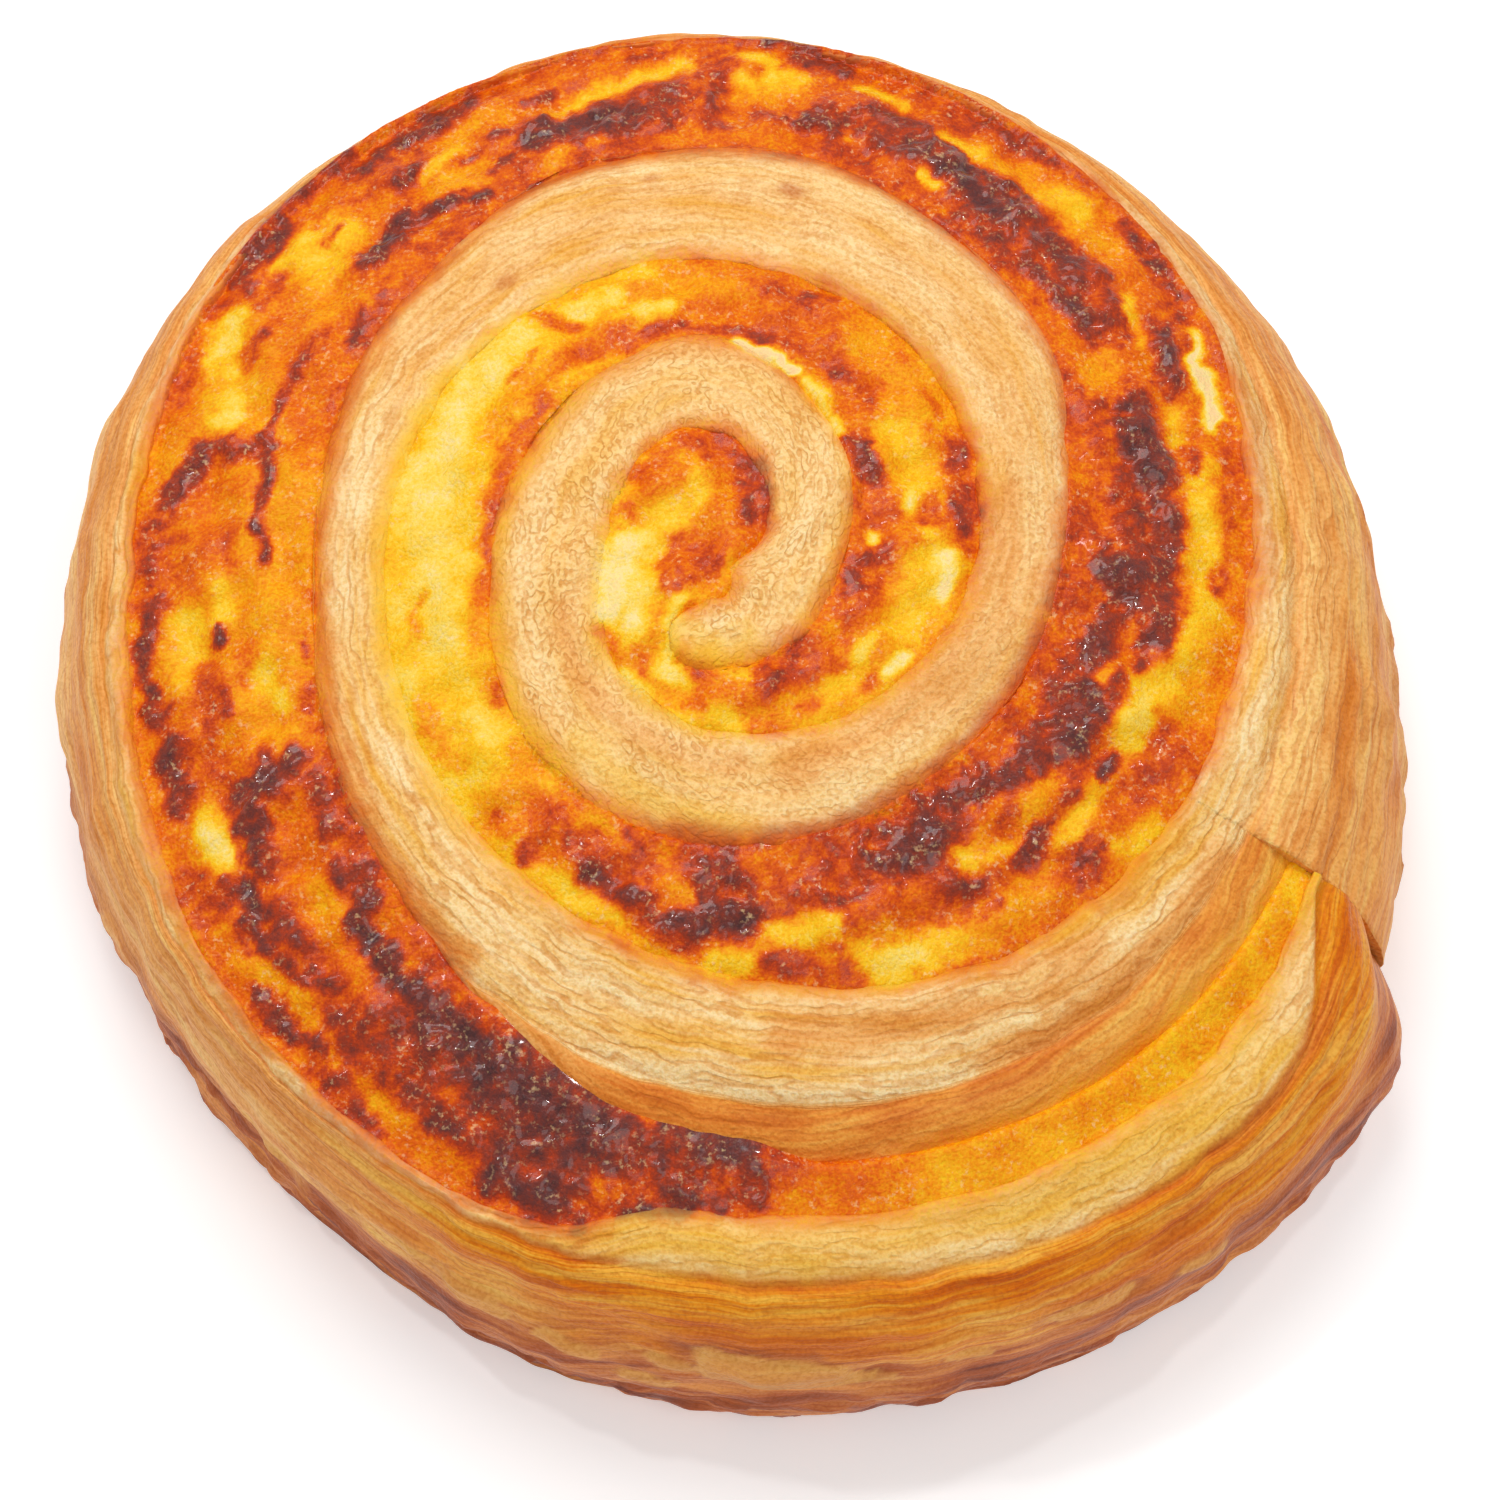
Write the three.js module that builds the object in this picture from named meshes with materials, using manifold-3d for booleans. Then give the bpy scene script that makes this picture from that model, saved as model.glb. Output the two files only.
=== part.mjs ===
// Cheese pastry: a strip of laminated dough rolled up with a cheese filling and baked lying flat,
// so that the cut edge of the roll shows as a spiral on top. Millimetres, +Z up, base at z = 0,
// origin below the middle of the outline. Turn angles are in degrees, counted from +X towards +Y,
// and grow by 360 with each turn of the roll.
import * as THREE from 'three';
import { mergeVertices } from 'three/addons/utils/BufferGeometryUtils.js';
import Module from 'manifold-3d';

// The roll, and the domed surface that its cut edge follows
const EYE = { x: -2.5, y: 2.05 };
const TIP_ANGLE = 247.5;
const TAIL_ANGLE = 1415;
const CROWN_HEIGHT = 36;
const CROWN_FALL = 12;
const CROWN_RADIUS = 58;

// Radius of the strip's inner face about the eye at each eighth of a turn, and the width of its
// cut top edge at each quarter of a turn, both from the turn angle 270 outwards.
const KNOTS_FROM = 270;
const INNER_FACE_RADII = [
  3.4, 3.1, 2.9, 8.0, 12.9, 9.4, 8.0, 10.6,
  14.2, 17.8, 22.5, 27.4, 30.4, 28.2, 26.1, 28.3,
  34.2, 41.8, 46.1, 52.9, 56.7, 53.1, 48.2, 52.0,
  56.9, 61.2, 58.2,
];
const STRIP_TOP_WIDTHS = [6.1, 8.8, 9.2, 9.6, 10.1, 7.8, 11.5, 6.5, 9.8, 4.0, 0.8, 2.0, 1.2, 2.9];

// The rounded nose of the strip in the eye
const NOSE_LENGTH = 30;
const NOSE_BLUNTNESS = 0.12;

// The cut top edge of the strip
const EDGE_ROUNDING = 1.5;
const TOP_LUMP = 0.35;

// The outermost turn's wall: how far its belly stands out past the cut top edge at each eighth of
// a turn, and the share of the wall's height at which it is widest.
const BELLY_FROM = 1035;
const BELLY = [17.0, 11.0, 5.6, 3.2, 4.2, 6.2, 2.7, 5.9, 5.6, 5.6];
const BELLY_LEVEL = 0.36;
const BASE_TUCK = 0.3;
const LAYER_RIDGE = 0.3;
const WALL_LUMP = 0.5;

// Near its tail the roll has sprung open: the turn below slopes down to a crease, the filling
// rises from there to the tail as a coating, and the tail's cut edge widens to a lip.
const SLOPE_FROM = 950;
const SLOPE_FULL = 985;
const SLOPE_WIDTH = 5;
const CREASE_DEPTH = 3.1;
const LIP_FROM = 1336;
const LIP_FULL = 1348;
const LIP_WIDTH = 4;
const TAIL_ROUNDING = 8;
const TAIL_SHRINK = 0.45;

// The wall steps out from under the tail's end between these two angles.
const STEP_OUT = [1055.5, 1056];

// The filling
const FILLING_GAP = 0.35;
const FILLING_SINK = 0.5;
const FILLING_CRAG = 0.9;
const FILLING_START_ANGLE = 232.5;
const FILLING_START_DIP = 1.2;
const FILLING_END_ANGLE = 1055;
const BLOB_START_ANGLE = 245;
const BLOB_END_ANGLE = 603.5;

// How finely the roll is divided
const ANGLE_STEP = 7.5;
const WALL_ROWS = 9;
const TOP_SHARES = [0.93, 0.72, 0.5, 0.28, 0.07];
const FILLING_COLUMNS = 5;
const BLOB_RINGS = 4;

const TURN = 360;
const QUARTER = 90;
const EIGHTH = 45;

const { clamp, lerp, smoothstep, degToRad } = THREE.MathUtils;

// A smooth curve through evenly spaced values.
function curveThrough(values, from, spacing) {
  const at = (i) => values[clamp(i, 0, values.length - 1)];
  return (angle) => {
    const position = clamp((angle - from) / spacing, 0, values.length - 1);
    const i = Math.floor(position);
    const f = position - i;
    const [a, b, c, d] = [at(i - 1), at(i), at(i + 1), at(i + 2)];
    const bend = 2 * a - 5 * b + 4 * c - d;
    return b + 0.5 * f * (c - a + f * (bend + f * (3 * (b - c) + d - a)));
  };
}

const innerCurve = curveThrough(INNER_FACE_RADII, KNOTS_FROM, EIGHTH);
const topCurve = curveThrough(STRIP_TOP_WIDTHS, KNOTS_FROM, QUARTER);
const bellyCurve = curveThrough(BELLY, BELLY_FROM, EIGHTH);

function place(angle, radius, height) {
  const turn = degToRad(angle);
  return [EYE.x + radius * Math.cos(turn), EYE.y + radius * Math.sin(turn), height];
}

function crownHeight(radius) {
  return CROWN_HEIGHT - CROWN_FALL * (radius / CROWN_RADIUS) ** 2;
}

// Slow unevenness of hand-rolled dough, between -1 and 1.
function lump(angle, across) {
  const turn = degToRad(angle);
  return (Math.sin(5.3 * turn + 1.7 * across) + Math.sin(8.9 * turn - 2.6 * across + 1.3)) / 2;
}

// Crags of baked cheese over the plan, between -1 and 1.
function crag(x, y) {
  const wide = Math.sin(0.41 * x + 0.9) * Math.sin(0.47 * y - 0.6);
  const fine = Math.sin(0.93 * x - 0.55 * y) * Math.sin(0.35 * x + 0.88 * y + 2.1);
  return 0.55 * wide + 0.45 * fine;
}

// The strip's two faces at one angle, and the foot of its outer slope.
function stripFaces(angle) {
  const fromFull = clamp((TIP_ANGLE + NOSE_LENGTH - angle) / NOSE_LENGTH, 0, 1);
  const nose = Math.max(NOSE_BLUNTNESS, Math.sqrt(1 - fromFull * fromFull));
  const lip = LIP_WIDTH * smoothstep(angle, LIP_FROM, LIP_FULL);
  const width = topCurve(angle) + lip;
  const middle = innerCurve(angle) - lip + width / 2;
  const outer = middle + nose * width / 2;
  const opened = smoothstep(angle, SLOPE_FROM, SLOPE_FULL);
  return { inner: middle - nose * width / 2, outer, foot: outer + SLOPE_WIDTH * opened, opened };
}

function edgeHeight(angle, radius) {
  return crownHeight(radius) - EDGE_ROUNDING + TOP_LUMP * lump(angle, 0);
}

// How far the outermost wall stands out at a share of its height: tucked in at the base, widest
// at the belly, rounded over to the top, with the layers of the dough as ridges.
function wallBulge(angle, share, row) {
  const above = clamp((share - BELLY_LEVEL) / (1 - BELLY_LEVEL), 0, 1);
  const below = clamp((BELLY_LEVEL - share) / BELLY_LEVEL, 0, 1);
  const round = Math.sqrt(1 - above * above) * (1 - BASE_TUCK * below * below);
  const endward = clamp((angle - TAIL_ANGLE + TAIL_ROUNDING) / TAIL_ROUNDING, 0, 1);
  const belly = bellyCurve(angle) * (1 - TAIL_SHRINK * endward * endward);
  const ridge = LAYER_RIDGE * (row % 2 ? 1 : -1);
  return (belly + ridge + WALL_LUMP * lump(angle, 5 * share)) * round;
}

// The dough's cross-section at one angle, as [radius, height] points from the inner foot round.
function doughSection(angle) {
  const { inner, outer, foot, opened } = stripFaces(angle);
  const bare = smoothstep(angle, ...STEP_OUT);
  const outerEdge = edgeHeight(angle, outer);
  const crease = outerEdge - CREASE_DEPTH * opened;
  const section = [[inner, 0]];
  for (let row = 0; row <= WALL_ROWS; row++) {
    const share = row / WALL_ROWS;
    const radius = lerp(foot, outer + wallBulge(angle, share, row), bare);
    section.push([radius, share * lerp(crease, outerEdge, bare)]);
  }
  for (const share of TOP_SHARES) {
    const radius = lerp(inner, outer, share);
    const rounding = EDGE_ROUNDING * Math.abs(2 * share - 1) ** 3;
    section.push([radius, crownHeight(radius) - rounding + TOP_LUMP * lump(angle, 2 * share)]);
  }
  section.push([inner, edgeHeight(angle, inner)]);
  return section;
}

// The filling's cross-section at one angle of the strip below it. Ahead of the strip's tip it is
// set in and down a little, because it starts inside the blob that fills the eye.
function fillingSection(angle) {
  const below = stripFaces(angle);
  const start = angle < TIP_ANGLE - ANGLE_STEP / 2 ? 1 : 0;
  const inner = below.foot + FILLING_GAP * (1 + start);
  const outer = stripFaces(angle + TURN).inner - FILLING_GAP * (1 + start);
  const nearSide = edgeHeight(angle, below.outer) - CREASE_DEPTH * below.opened;
  const farSide = edgeHeight(angle + TURN, outer);
  const section = [[inner, FILLING_GAP * start], [outer, FILLING_GAP * start]];
  for (let column = FILLING_COLUMNS; column >= 0; column--) {
    const share = column / FILLING_COLUMNS;
    const radius = lerp(inner, outer, share);
    const [x, y] = place(angle, radius, 0);
    const risen = crownHeight(radius) + FILLING_CRAG * crag(x, y);
    const middle = 4 * share * (1 - share) * (1 - below.opened);
    const height = lerp(lerp(nearSide, farSide, share), risen, middle);
    section.push([radius, height - FILLING_SINK - FILLING_START_DIP * start]);
  }
  return section;
}

// Angles at which the roll is divided, with any extra ones in their places.
function anglesBetween(from, to, extra = []) {
  const angles = [...extra];
  for (let angle = from; angle <= to; angle += ANGLE_STEP) angles.push(angle);
  return angles.sort((a, b) => a - b);
}

function bufferGeometry(points, triangles) {
  const geometry = new THREE.BufferGeometry();
  geometry.setAttribute('position', new THREE.Float32BufferAttribute(points.flat(), 3));
  geometry.setIndex(triangles.flat());
  return geometry;
}

// Triangles of a flat cross-section, all turning the same way as its outline.
function capTriangles(section) {
  const outline = section.map(([r, z]) => new THREE.Vector2(r, z));
  const turns = (a, b, c) => (b.x - a.x) * (c.y - a.y) - (b.y - a.y) * (c.x - a.x) > 0;
  return THREE.ShapeUtils.triangulateShape(outline, []).map(([a, b, c]) => (
    turns(outline[a], outline[b], outline[c]) ? [a, b, c] : [a, c, b]
  ));
}

// A closed body swept round the eye through one cross-section for each angle.
function sweep(angles, sectionAt) {
  const sections = angles.map(sectionAt);
  const size = sections[0].length;
  const points = sections.flatMap((section, i) => section.map(([r, z]) => place(angles[i], r, z)));
  const triangles = [];
  for (let i = 0; i + 1 < sections.length; i++) {
    for (let j = 0; j < size; j++) {
      const a = i * size + j;
      const b = i * size + (j + 1) % size;
      triangles.push([a, a + size, b + size], [a, b + size, b]);
    }
  }
  const last = (sections.length - 1) * size;
  for (const [a, b, c] of capTriangles(sections[0])) triangles.push([a, b, c]);
  for (const [a, b, c] of capTriangles(sections.at(-1))) triangles.push([last + a, last + c, last + b]);
  return bufferGeometry(points, triangles);
}

// The filling in the eye of the roll: it reaches out to the strip's inner face all the way round
// the first turn, and closes in front of the strip's nose.
function blobGeometry() {
  const reach = (angle) => stripFaces(angle).inner - FILLING_GAP;
  const angles = anglesBetween(TIP_ANGLE, BLOB_END_ANGLE, [BLOB_END_ANGLE]);
  const edge = angles.map((angle) => [angle, reach(angle)]);
  edge.unshift([BLOB_START_ANGLE, reach(TIP_ANGLE)]);
  const points = [place(0, 0, 0), place(0, 0, crownHeight(0) - FILLING_SINK)];
  for (const [angle, radius] of edge) {
    points.push(place(angle, radius, 0));
    for (let ring = BLOB_RINGS; ring > 0; ring--) {
      const share = ring / BLOB_RINGS;
      const rim = share ** 4;
      const [x, y] = place(angle, radius * share, 0);
      const relief = lerp(FILLING_CRAG * crag(x, y), -EDGE_ROUNDING, rim);
      points.push([x, y, crownHeight(radius * share) - FILLING_SINK + relief]);
    }
  }
  const column = BLOB_RINGS + 1;
  const triangles = [];
  for (let i = 0; i < edge.length; i++) {
    const a = 2 + i * column;
    const b = 2 + ((i + 1) % edge.length) * column;
    triangles.push([0, b, a], [1, a + BLOB_RINGS, b + BLOB_RINGS]);
    for (let j = 0; j < BLOB_RINGS; j++) {
      triangles.push([a + j, b + j, b + j + 1], [a + j, b + j + 1, a + j + 1]);
    }
  }
  return bufferGeometry(points, triangles);
}

const wasm = await Module();
wasm.setup();

function toSolid(geometry) {
  const bare = mergeVertices(geometry);
  const vertProperties = new Float32Array(bare.attributes.position.array);
  const triVerts = new Uint32Array(bare.index.array);
  return new wasm.Manifold(new wasm.Mesh({ numProp: 3, vertProperties, triVerts }));
}

function toGeometry(solid) {
  const { vertProperties, triVerts } = solid.getMesh();
  const geometry = new THREE.BufferGeometry();
  geometry.setAttribute('position', new THREE.BufferAttribute(vertProperties, 3));
  geometry.setIndex(new THREE.BufferAttribute(triVerts, 1));
  return geometry;
}

function doughGeometry() {
  const extra = [...STEP_OUT, TAIL_ANGLE - 2, TAIL_ANGLE];
  return sweep(anglesBetween(TIP_ANGLE, TAIL_ANGLE, extra), doughSection);
}

function fillingGeometry() {
  const angles = anglesBetween(FILLING_START_ANGLE, FILLING_END_ANGLE, [FILLING_END_ANGLE]);
  const strip = sweep(angles, fillingSection);
  return toGeometry(toSolid(blobGeometry()).add(toSolid(strip)));
}

function piece(name, geometry, color, roughness) {
  const material = new THREE.MeshStandardMaterial({ color, roughness, metalness: 0 });
  const mesh = new THREE.Mesh(geometry, material);
  mesh.name = name;
  return mesh;
}

const pastry = new THREE.Group();
pastry.add(piece('dough', doughGeometry(), 0xe9b56c, 0.55));
pastry.add(piece('cheese_filling', fillingGeometry(), 0xc8671c, 0.35));

export default pastry;
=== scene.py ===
"""Looks of a baked cheese swirl: a strip of laminated dough rolled up with browned cheese.

Meshes are in metres, +Z up. Until a mesh is made, sizes are in millimetres and angles in degrees.
A turn angle is counted about the eye of the roll from +X towards +Y and grows by 360 with each
turn. A share runs from 0 at the inner side of a band of dough or cheese to 1 at its outer side.
"""

import math

import bmesh
import bpy
import numpy as np
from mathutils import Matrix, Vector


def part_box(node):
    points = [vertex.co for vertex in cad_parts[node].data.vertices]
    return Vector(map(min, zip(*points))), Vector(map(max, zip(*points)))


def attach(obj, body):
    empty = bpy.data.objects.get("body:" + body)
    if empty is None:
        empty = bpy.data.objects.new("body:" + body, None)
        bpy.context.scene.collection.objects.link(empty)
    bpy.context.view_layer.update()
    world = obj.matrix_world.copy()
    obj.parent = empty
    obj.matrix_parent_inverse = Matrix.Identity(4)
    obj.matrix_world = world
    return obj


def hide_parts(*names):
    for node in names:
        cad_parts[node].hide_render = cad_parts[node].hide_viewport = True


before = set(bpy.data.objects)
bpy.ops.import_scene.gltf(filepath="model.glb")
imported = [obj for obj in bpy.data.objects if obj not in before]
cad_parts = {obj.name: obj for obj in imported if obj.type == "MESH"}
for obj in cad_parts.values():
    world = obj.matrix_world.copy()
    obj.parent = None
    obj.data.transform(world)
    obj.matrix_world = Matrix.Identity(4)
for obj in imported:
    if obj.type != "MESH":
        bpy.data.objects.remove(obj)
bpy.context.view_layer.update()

MM = 0.001
TURN = 360

# ---- The roll -------------------------------------------------------------------------------

EYE = (-2.5, 2.05)
TIP_ANGLE = 247.5
TAIL_ANGLE = 1415.5
CROWN_HEIGHT = 36
CROWN_FALL = 12
CROWN_RADIUS = 58
# Radii of the strip's inner face at each eighth of a turn, and its top widths at each quarter
KNOTS_FROM = 270
KNOT_SPACING = TURN / 8
INNER_FACE_RADII = (
    3.4, 3.1, 2.9, 8.0, 12.9, 9.4, 8.0, 10.6,
    14.2, 17.8, 22.5, 27.4, 30.4, 28.2, 26.1, 28.3,
    34.2, 41.8, 46.1, 52.9, 56.7, 53.1, 48.2, 52.0,
    56.9, 61.2, 58.2,
)
STRIP_TOP_WIDTHS = (6.1, 8.8, 9.2, 9.6, 10.1, 7.8, 11.5, 6.5, 9.8, 4.0, 0.8, 2.0, 1.2, 2.9)
NOSE_LENGTH = 30
NOSE_BLUNTNESS = 0.12
EDGE_ROUNDING = 0.8
TOP_LUMP = 0.35
# How far the outer wall stands out past its top edge, at each eighth of a turn
BELLY_FROM = 1035
BELLY = (17.0, 11.0, 5.6, 3.2, 4.2, 6.2, 2.7, 5.9, 5.6, 5.6)
BELLY_LEVEL = 0.36
BASE_TUCK = 0.3
WALL_LUMP = 0.5
SLOPE_FROM = 950
SLOPE_FULL = 985
SLOPE_WIDTH = 5
CREASE_DEPTH = 1.9
TOP_LIMIT = 35.95
TOP_BEND = 0.12
LIP_FROM = 1336
LIP_FULL = 1348
LIP_WIDTH = 4
TAIL_ROUNDING = 8
TAIL_SHRINK = 0.45
TAIL_TAPER_FROM = 1394
TAIL_TIP_WIDTH = 0.9
EDGE_WANDER = 0.28
EDGE_WANDER_LENGTH = 3.2
SPREAD = 1.8
SPREAD_RISE = (738, 760)
SPREAD_FALL = (828, 850)
FILLING_SINK = 0.5
FILLING_CRAG = 0.9
FILLING_END_ANGLE = 1055.9


def clamp(value):
    return np.clip(value, 0, 1)


def lerp(a, b, share):
    return a + (b - a) * share


def ease(value, low, high):
    """Rises smoothly from 0 at low to 1 at high."""
    t = clamp((value - low) / (high - low))
    return t * t * (3 - 2 * t)


def curve_through(values, start, spacing):
    """A smooth curve through evenly spaced values."""
    knots = np.asarray(values, float)
    last = len(knots) - 1

    def curve(angle):
        position = np.clip((np.asarray(angle, float) - start) / spacing, 0, last)
        i = np.floor(position).astype(int)
        f = position - i
        a, b, c, d = (knots[np.clip(i + step, 0, last)] for step in (-1, 0, 1, 2))
        bend = 2 * a - 5 * b + 4 * c - d
        return b + 0.5 * f * (c - a + f * (bend + f * (3 * (b - c) + d - a)))

    return curve


inner_curve = curve_through(INNER_FACE_RADII, KNOTS_FROM, KNOT_SPACING)
top_curve = curve_through(STRIP_TOP_WIDTHS, KNOTS_FROM, 2 * KNOT_SPACING)
belly_curve = curve_through(BELLY, BELLY_FROM, KNOT_SPACING)


def crown_height(radius):
    return CROWN_HEIGHT - CROWN_FALL * (radius / CROWN_RADIUS) ** 2


def lump(angle, across):
    """Slow unevenness of hand-rolled dough, between -1 and 1."""
    turn = np.radians(angle)
    return (np.sin(5.3 * turn + 1.7 * across) + np.sin(8.9 * turn - 2.6 * across + 1.3)) / 2


def crag(x, y):
    """Large crags of baked cheese over the plan, between -1 and 1."""
    wide = np.sin(0.41 * x + 0.9) * np.sin(0.47 * y - 0.6)
    fine = np.sin(0.93 * x - 0.55 * y) * np.sin(0.35 * x + 0.88 * y + 2.1)
    return 0.55 * wide + 0.45 * fine


def strip_faces(angle):
    """Radii of the strip's inner face, outer edge and outer foot, and how far the roll is open."""
    from_full = clamp((TIP_ANGLE + NOSE_LENGTH - angle) / NOSE_LENGTH)
    nose = np.maximum(NOSE_BLUNTNESS, np.sqrt(1 - from_full * from_full))
    lip = LIP_WIDTH * ease(angle, LIP_FROM, LIP_FULL)
    width = top_curve(angle) + lip
    middle = inner_curve(angle) - lip + width / 2
    spread = SPREAD * ease(angle, *SPREAD_RISE) * (1 - ease(angle, *SPREAD_FALL))
    outer = middle + nose * width / 2 + spread
    opened = ease(angle, SLOPE_FROM, SLOPE_FULL)
    return middle - nose * width / 2, outer, outer + SLOPE_WIDTH * opened, opened


def under_limit(height):
    """Bends a height off smoothly just under the top limit."""
    return height - TOP_BEND * np.log1p(np.exp((height - TOP_LIMIT) / TOP_BEND))


def edge_height(angle, radius):
    return crown_height(radius) - EDGE_ROUNDING + TOP_LUMP * lump(angle, 0)


def dough_top(angle, radius, inner, outer):
    """Height of the cut top edge of the strip."""
    share = clamp((radius - inner) / (outer - inner))
    rounding = EDGE_ROUNDING * np.abs(2 * share - 1) ** 4
    return crown_height(radius) - rounding + TOP_LUMP * lump(angle, 2 * share)


def wall_bulge(angle, share):
    """How far the outermost wall stands out past its top edge at a share of its height."""
    above = clamp((share - BELLY_LEVEL) / (1 - BELLY_LEVEL))
    below = clamp((BELLY_LEVEL - share) / BELLY_LEVEL)
    round_over = np.sqrt(1 - above * above) * (1 - BASE_TUCK * below * below)
    endward = clamp((angle - TAIL_ANGLE + TAIL_ROUNDING) / TAIL_ROUNDING)
    belly = belly_curve(angle) * (1 - TAIL_SHRINK * endward * endward)
    return (belly + WALL_LUMP * lump(angle, 5 * share)) * round_over


def plan(angle, radius):
    turn = np.radians(angle)
    return EYE[0] + radius * np.cos(turn), EYE[1] + radius * np.sin(turn)


# ---- Repeatable unevenness --------------------------------------------------------------------


def dice(i, j, seed):
    """A repeatable random value from 0 to 1 for each whole-numbered place."""
    n = (i.astype(np.int64) * 374761393 + j.astype(np.int64) * 668265263 + seed * 974634777)
    n &= 0xFFFFFFFF
    n = ((n ^ (n >> 13)) * 1274126177) & 0xFFFFFFFF
    return ((n ^ (n >> 16)) & 0xFFFFFF) / 0xFFFFFF


def cloud(x, y, seed, octaves=1):
    """Soft noise between about -1 and 1, with one hump for each unit of x and y."""
    total = np.zeros(np.shape(x))
    strength, reach = 1.0, 0.0
    for octave in range(octaves):
        i, j = np.floor(x), np.floor(y)
        u, v = x - i, y - j
        u, v = u * u * (3 - 2 * u), v * v * (3 - 2 * v)
        near = lerp(dice(i, j, seed + octave), dice(i + 1, j, seed + octave), u)
        far = lerp(dice(i, j + 1, seed + octave), dice(i + 1, j + 1, seed + octave), u)
        total += strength * (2 * lerp(near, far, v) - 1)
        reach += strength
        strength *= 0.5
        x, y = 2.03 * x + 17.1, 2.03 * y + 9.7
    return total / reach * 1.4


def blebs(x, y, seed):
    """Distance to the nearest of one scattered point in each unit cell, and that point's dice."""
    i, j = np.floor(x), np.floor(y)
    nearest = np.full(np.shape(x), 9.0)
    chance = np.zeros(np.shape(x))
    for di in (-1, 0, 1):
        for dj in (-1, 0, 1):
            px = i + di + dice(i + di, j + dj, seed)
            py = j + dj + dice(i + di, j + dj, seed + 1)
            distance = np.hypot(x - px, y - py)
            closer = distance < nearest
            nearest = np.where(closer, distance, nearest)
            chance = np.where(closer, dice(i + di, j + dj, seed + 2), chance)
    return nearest, chance


# ---- Painted marks ----------------------------------------------------------------------------

STROKE_STEP = 6
BRUSH_REACH = 2.5
BRUSH_EDGE = (0.15, 1.75)
BRUSH_FRAY = 0.45
def cheese_spot(angle, share):
    """Plan position of a share of the filling's width at a turn angle."""
    foot = np.where(angle < TIP_ANGLE, 0, strip_faces(angle)[2])
    return plan(angle, lerp(foot, strip_faces(angle + TURN)[0], share))


def dough_spot(angle, share):
    """Plan position of a share of the strip's top width at a turn angle."""
    inner, outer = strip_faces(angle)[:2]
    return plan(angle, lerp(inner, outer, share))


def stroke_path(marks, spot):
    """A brush path through marks of angle and share, with a point at least every stroke step."""
    xs, ys = [], []
    for (a0, s0), (a1, s1) in zip(marks, marks[1:] or marks):
        steps = max(1, math.ceil(abs(a1 - a0) / STROKE_STEP))
        t = np.arange(steps + 1) / steps
        x, y = spot(lerp(a0, a1, t), lerp(s0, s1, t))
        xs.append(x)
        ys.append(y)
    return np.concatenate(xs), np.concatenate(ys)


def distance_to_path(x, y, path):
    """Distance from each place to the nearest point of a path."""
    px, py = path
    nearest = np.full(np.shape(x), 1e3)
    for x0, y0, x1, y1 in zip(px, py, px[1:], py[1:]):
        dx, dy = x1 - x0, y1 - y0
        along = clamp(((x - x0) * dx + (y - y0) * dy) / max(dx * dx + dy * dy, 1e-9))
        nearest = np.minimum(nearest, np.hypot(x - x0 - along * dx, y - y0 - along * dy))
    return nearest


def brush(x, y, level, strokes, spot, fray, heat=1.0):
    """Paints strokes of (level, half width, mark, mark, ...) in turn over a starting level. Heat
    below 1 draws the levels past amber back towards it."""
    level = level.copy()
    for target, half_width, *marks in strokes:
        target = AMBER + (target - AMBER) * heat if target > AMBER else target
        path = stroke_path(marks, spot)
        reach = BRUSH_REACH * half_width
        near = (x > path[0].min() - reach) & (x < path[0].max() + reach)
        near &= (y > path[1].min() - reach) & (y < path[1].max() + reach)
        near = np.flatnonzero(near)
        away = distance_to_path(x[near], y[near], path) / half_width
        weight = 1 - ease(away + BRUSH_FRAY * fray[near], *BRUSH_EDGE)
        level[near] = lerp(level[near], target, weight)
    return level


# How far the cheese is baked, from pale dough (0) by cream, yellow and orange to charcoal (1)
BARE, CREAM, PALE, YELLOW, AMBER, ORANGE = 0.0, 0.09, 0.15, 0.22, 0.32, 0.41
RUST, RED, BROWN, DARK, CHAR = 0.49, 0.56, 0.64, 0.76, 0.88

EYE_STROKES = (
    (ORANGE, 2.4, (20, .5), (55, .45), (90, .3)), (AMBER, 1.6, (75, .62), (100, .62), (120, .68)),
    (YELLOW, 0.9, (110, .4), (95, .42), (92, .6)),
    (ORANGE, 1.7, (70, .88), (85, .9), (100, .88), (115, .86)),
    (ORANGE, 1.2, (105, .68), (122, .72)), (RED, 1.0, (92, .9), (98, .9)),
    (RUST, 1.1, (108, .88), (118, .84)), (BROWN, 0.6, (84, .86), (88, .82)),
    (RED, 1.8, (44, .85), (56, .86), (68, .86), (78, .9)),
    (DARK, 0.9, (48, .94), (60, .98), (68, .94)), (DARK, 0.6, (47, .72), (56, .75), (66, .76)),
    (RUST, 0.9, (140, .86), (147, .8)), (AMBER, 1.1, (150, .95), (158, .9)),
    (YELLOW, 1.6, (125, .5), (150, .52), (200, .5), (235, .5)),
    (CREAM, 1.7, (165, .75), (185, .82), (205, .9)), (PALE, 1.2, (205, .6), (225, .62)),
    (CREAM, 0.7, (222, .72), (226, .74)), (ORANGE, 0.9, (216, 1.02), (232, .95)),
    (AMBER, 0.8, (235, .85), (245, .85)), (RUST, 1.9, (0, .0), (200, .12), (265, .3)),
    (RED, 1.2, (10, .35), (0, .0), (270, .28)),
    (AMBER, 0.7, (-100, .85), (-60, .9), (-30, .9), (0, .9)),
)

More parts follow.
